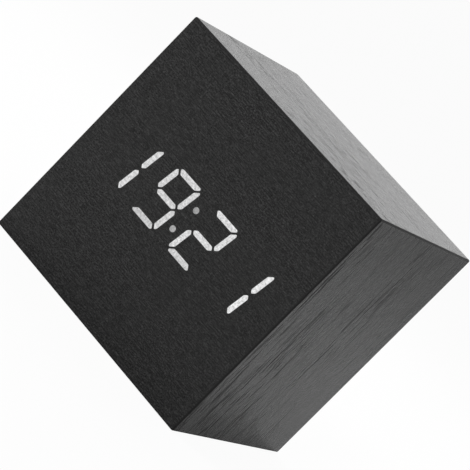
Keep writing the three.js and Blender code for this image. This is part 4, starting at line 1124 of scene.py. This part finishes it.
def flat_cable(name, start, end, shares, node):
    """Thin wires side by side in one skin, so that both faces are ribbed."""
    route = curved_route([start, *between_ends(start, end, shares), end])
    pitch = ribbon_width / ribbon_wires
    rib = (ribbon_thickness - ribbon_web) / 2
    upper = []
    for wire in range(ribbon_wires):
        for step in range(rib_steps):
            turn = math.pi * step / rib_steps
            across = pitch * (wire + (1 - math.cos(turn)) / 2) - ribbon_width / 2
            upper.append((across, ribbon_web / 2 + rib * math.sin(turn)))
    upper.append((ribbon_width / 2, ribbon_web / 2))
    section = upper + [(across, -out) for across, out in reversed(upper)]
    bm = bmesh.new()
    rings = []
    for i, place in enumerate(route):
        along = (route[min(i + 1, len(route) - 1)] - route[max(i - 1, 0)]).normalized()
        outward = Vector((0, -along.z, along.y))
        corners = [bm.verts.new(place + Vector((across, 0, 0)) + outward * out) for across, out in section]
        rings.append([bm.edges.new((corner, corners[j - 1])) for j, corner in enumerate(corners)])
    for ring, following in zip(rings, rings[1:]):
        bmesh.ops.bridge_loops(bm, edges=ring + following)
    for face in bm.faces:
        face.smooth = True
    bmesh.ops.holes_fill(bm, edges=rings[0] + rings[-1], sides=0)
    make_piece(name, bm, [wire_material("grey_flat_cable", ribbon_grey)], "clock", "grey_ribbon", node)


lead(
    "positive_lead", positive_tail, positive_pad, positive_bends,
    wire_material("red_insulation", wire_red), "battery_lead_positive")
lead(
    "negative_lead", negative_tail, negative_pad, negative_bends,
    wire_material("black_insulation", wire_black), "battery_lead_negative")
flat_cable("flat_cable", cable_start, cable_end, cable_bends, "ribbon_cable")


# Floor, light and camera: a white floor that runs out of sight, a white surround, two soft lamps, and the
# camera where the photographer stood, turned so that the clock seems to stand on its corner.

floor_reach = 6
floor_gap = 0.0001
floor_white = (0.62, 0.62, 0.62, 1)
floor_seen_white = 0.95
floor_mirrored_white = 0.15
surround_fill = 0.39
key_place = Vector((-0.25, -0.3, 0.26))
key_size = 0.15
key_power = 1.4
back_place = Vector((-0.05, 0.15, 0.24))
back_size = 0.25
back_power = 0.8
camera_target = Vector((-0.0015, -0.00055, 0.03214))
camera_place = Vector((0.21678, -0.53342, 0.13423))
camera_roll = math.radians(44.5389)
camera_lens = 201.539
camera_sensor = 36
camera_near = 0.01
camera_far = 50


def by_ray(tree, camera, mirrored, otherwise):
    """One value for what the camera or a refraction sees, one for reflections, and one for the rest."""
    path = tree.nodes.new("ShaderNodeLightPath")
    direct = combined(tree, "MAXIMUM", path.outputs["Is Camera Ray"], path.outputs["Is Transmission Ray"])
    seen = combined(tree, "MULTIPLY", direct, camera - otherwise)
    glossy = combined(tree, "MULTIPLY", path.outputs["Is Glossy Ray"], mirrored - otherwise)
    return combined(tree, "ADD", combined(tree, "ADD", seen, glossy), otherwise)


def floor_material():
    """White paper, nearly evenly white to the camera and faintly darker in shade. Clear from below."""
    material = bpy.data.materials.new("white_floor")
    material.use_nodes = True
    tree = material.node_tree
    paper = tree.nodes["Principled BSDF"]
    paper.inputs["Base Color"].default_value = floor_white
    paper.inputs["Roughness"].default_value = 1
    paper.inputs["Specular IOR Level"].default_value = 0
    white = tree.nodes.new("ShaderNodeEmission")
    both = tree.nodes.new("ShaderNodeMixShader")
    tree.links.new(by_ray(tree, floor_seen_white, floor_mirrored_white, 0), both.inputs[0])
    tree.links.new(paper.outputs[0], both.inputs[1])
    tree.links.new(white.outputs[0], both.inputs[2])
    facing = tree.nodes.new("ShaderNodeNewGeometry")
    clear = tree.nodes.new("ShaderNodeBsdfTransparent")
    one_sided = tree.nodes.new("ShaderNodeMixShader")
    tree.links.new(facing.outputs["Backfacing"], one_sided.inputs[0])
    tree.links.new(both.outputs[0], one_sided.inputs[1])
    tree.links.new(clear.outputs[0], one_sided.inputs[2])
    tree.links.new(one_sided.outputs[0], tree.nodes["Material Output"].inputs["Surface"])
    return material


floor_mesh = bmesh.new()
bmesh.ops.create_grid(floor_mesh, x_segments=1, y_segments=1, size=floor_reach)
bmesh.ops.translate(floor_mesh, vec=(0, 0, -floor_gap), verts=floor_mesh.verts)
floor_data = bpy.data.meshes.new("floor")
floor_mesh.to_mesh(floor_data)
floor_mesh.free()
floor_data.materials.append(floor_material())
floor = bpy.data.objects.new("floor", floor_data)
bpy.context.scene.collection.objects.link(floor)

world = bpy.data.worlds.new("white_surround")
bpy.context.scene.world = world
world.use_nodes = True
surround = world.node_tree.nodes["Background"]
surround.inputs["Color"].default_value = (1, 1, 1, 1)
world.node_tree.links.new(by_ray(world.node_tree, 1, 1, surround_fill), surround.inputs["Strength"])


def soft_lamp(name, place, size, power):
    """A square of soft light that shows in no reflection: the surround is what gloss and metal mirror."""
    lamp = bpy.data.lights.new(name, "AREA")
    lamp.size = size
    lamp.energy = power
    holder = bpy.data.objects.new(name, lamp)
    holder.location = place
    holder.rotation_euler = (camera_target - place).to_track_quat("-Z", "Y").to_euler()
    holder.visible_glossy = False
    bpy.context.scene.collection.objects.link(holder)


soft_lamp("key_lamp", key_place, key_size, key_power)
soft_lamp("back_lamp", back_place, back_size, back_power)

camera_data = bpy.data.cameras.new("camera")
camera_data.sensor_width = camera_sensor
camera_data.lens = camera_lens
camera_data.clip_start = camera_near
camera_data.clip_end = camera_far
camera = bpy.data.objects.new("camera", camera_data)
level = (camera_target - camera_place).to_track_quat("-Z", "Y")
camera.rotation_mode = "QUATERNION"
camera.rotation_quaternion = level @ Matrix.Rotation(camera_roll, 3, "Z").to_quaternion()
camera.location = camera_place
bpy.context.scene.collection.objects.link(camera)
bpy.context.scene.camera = camera

bpy.context.scene.view_settings.view_transform = "Standard"
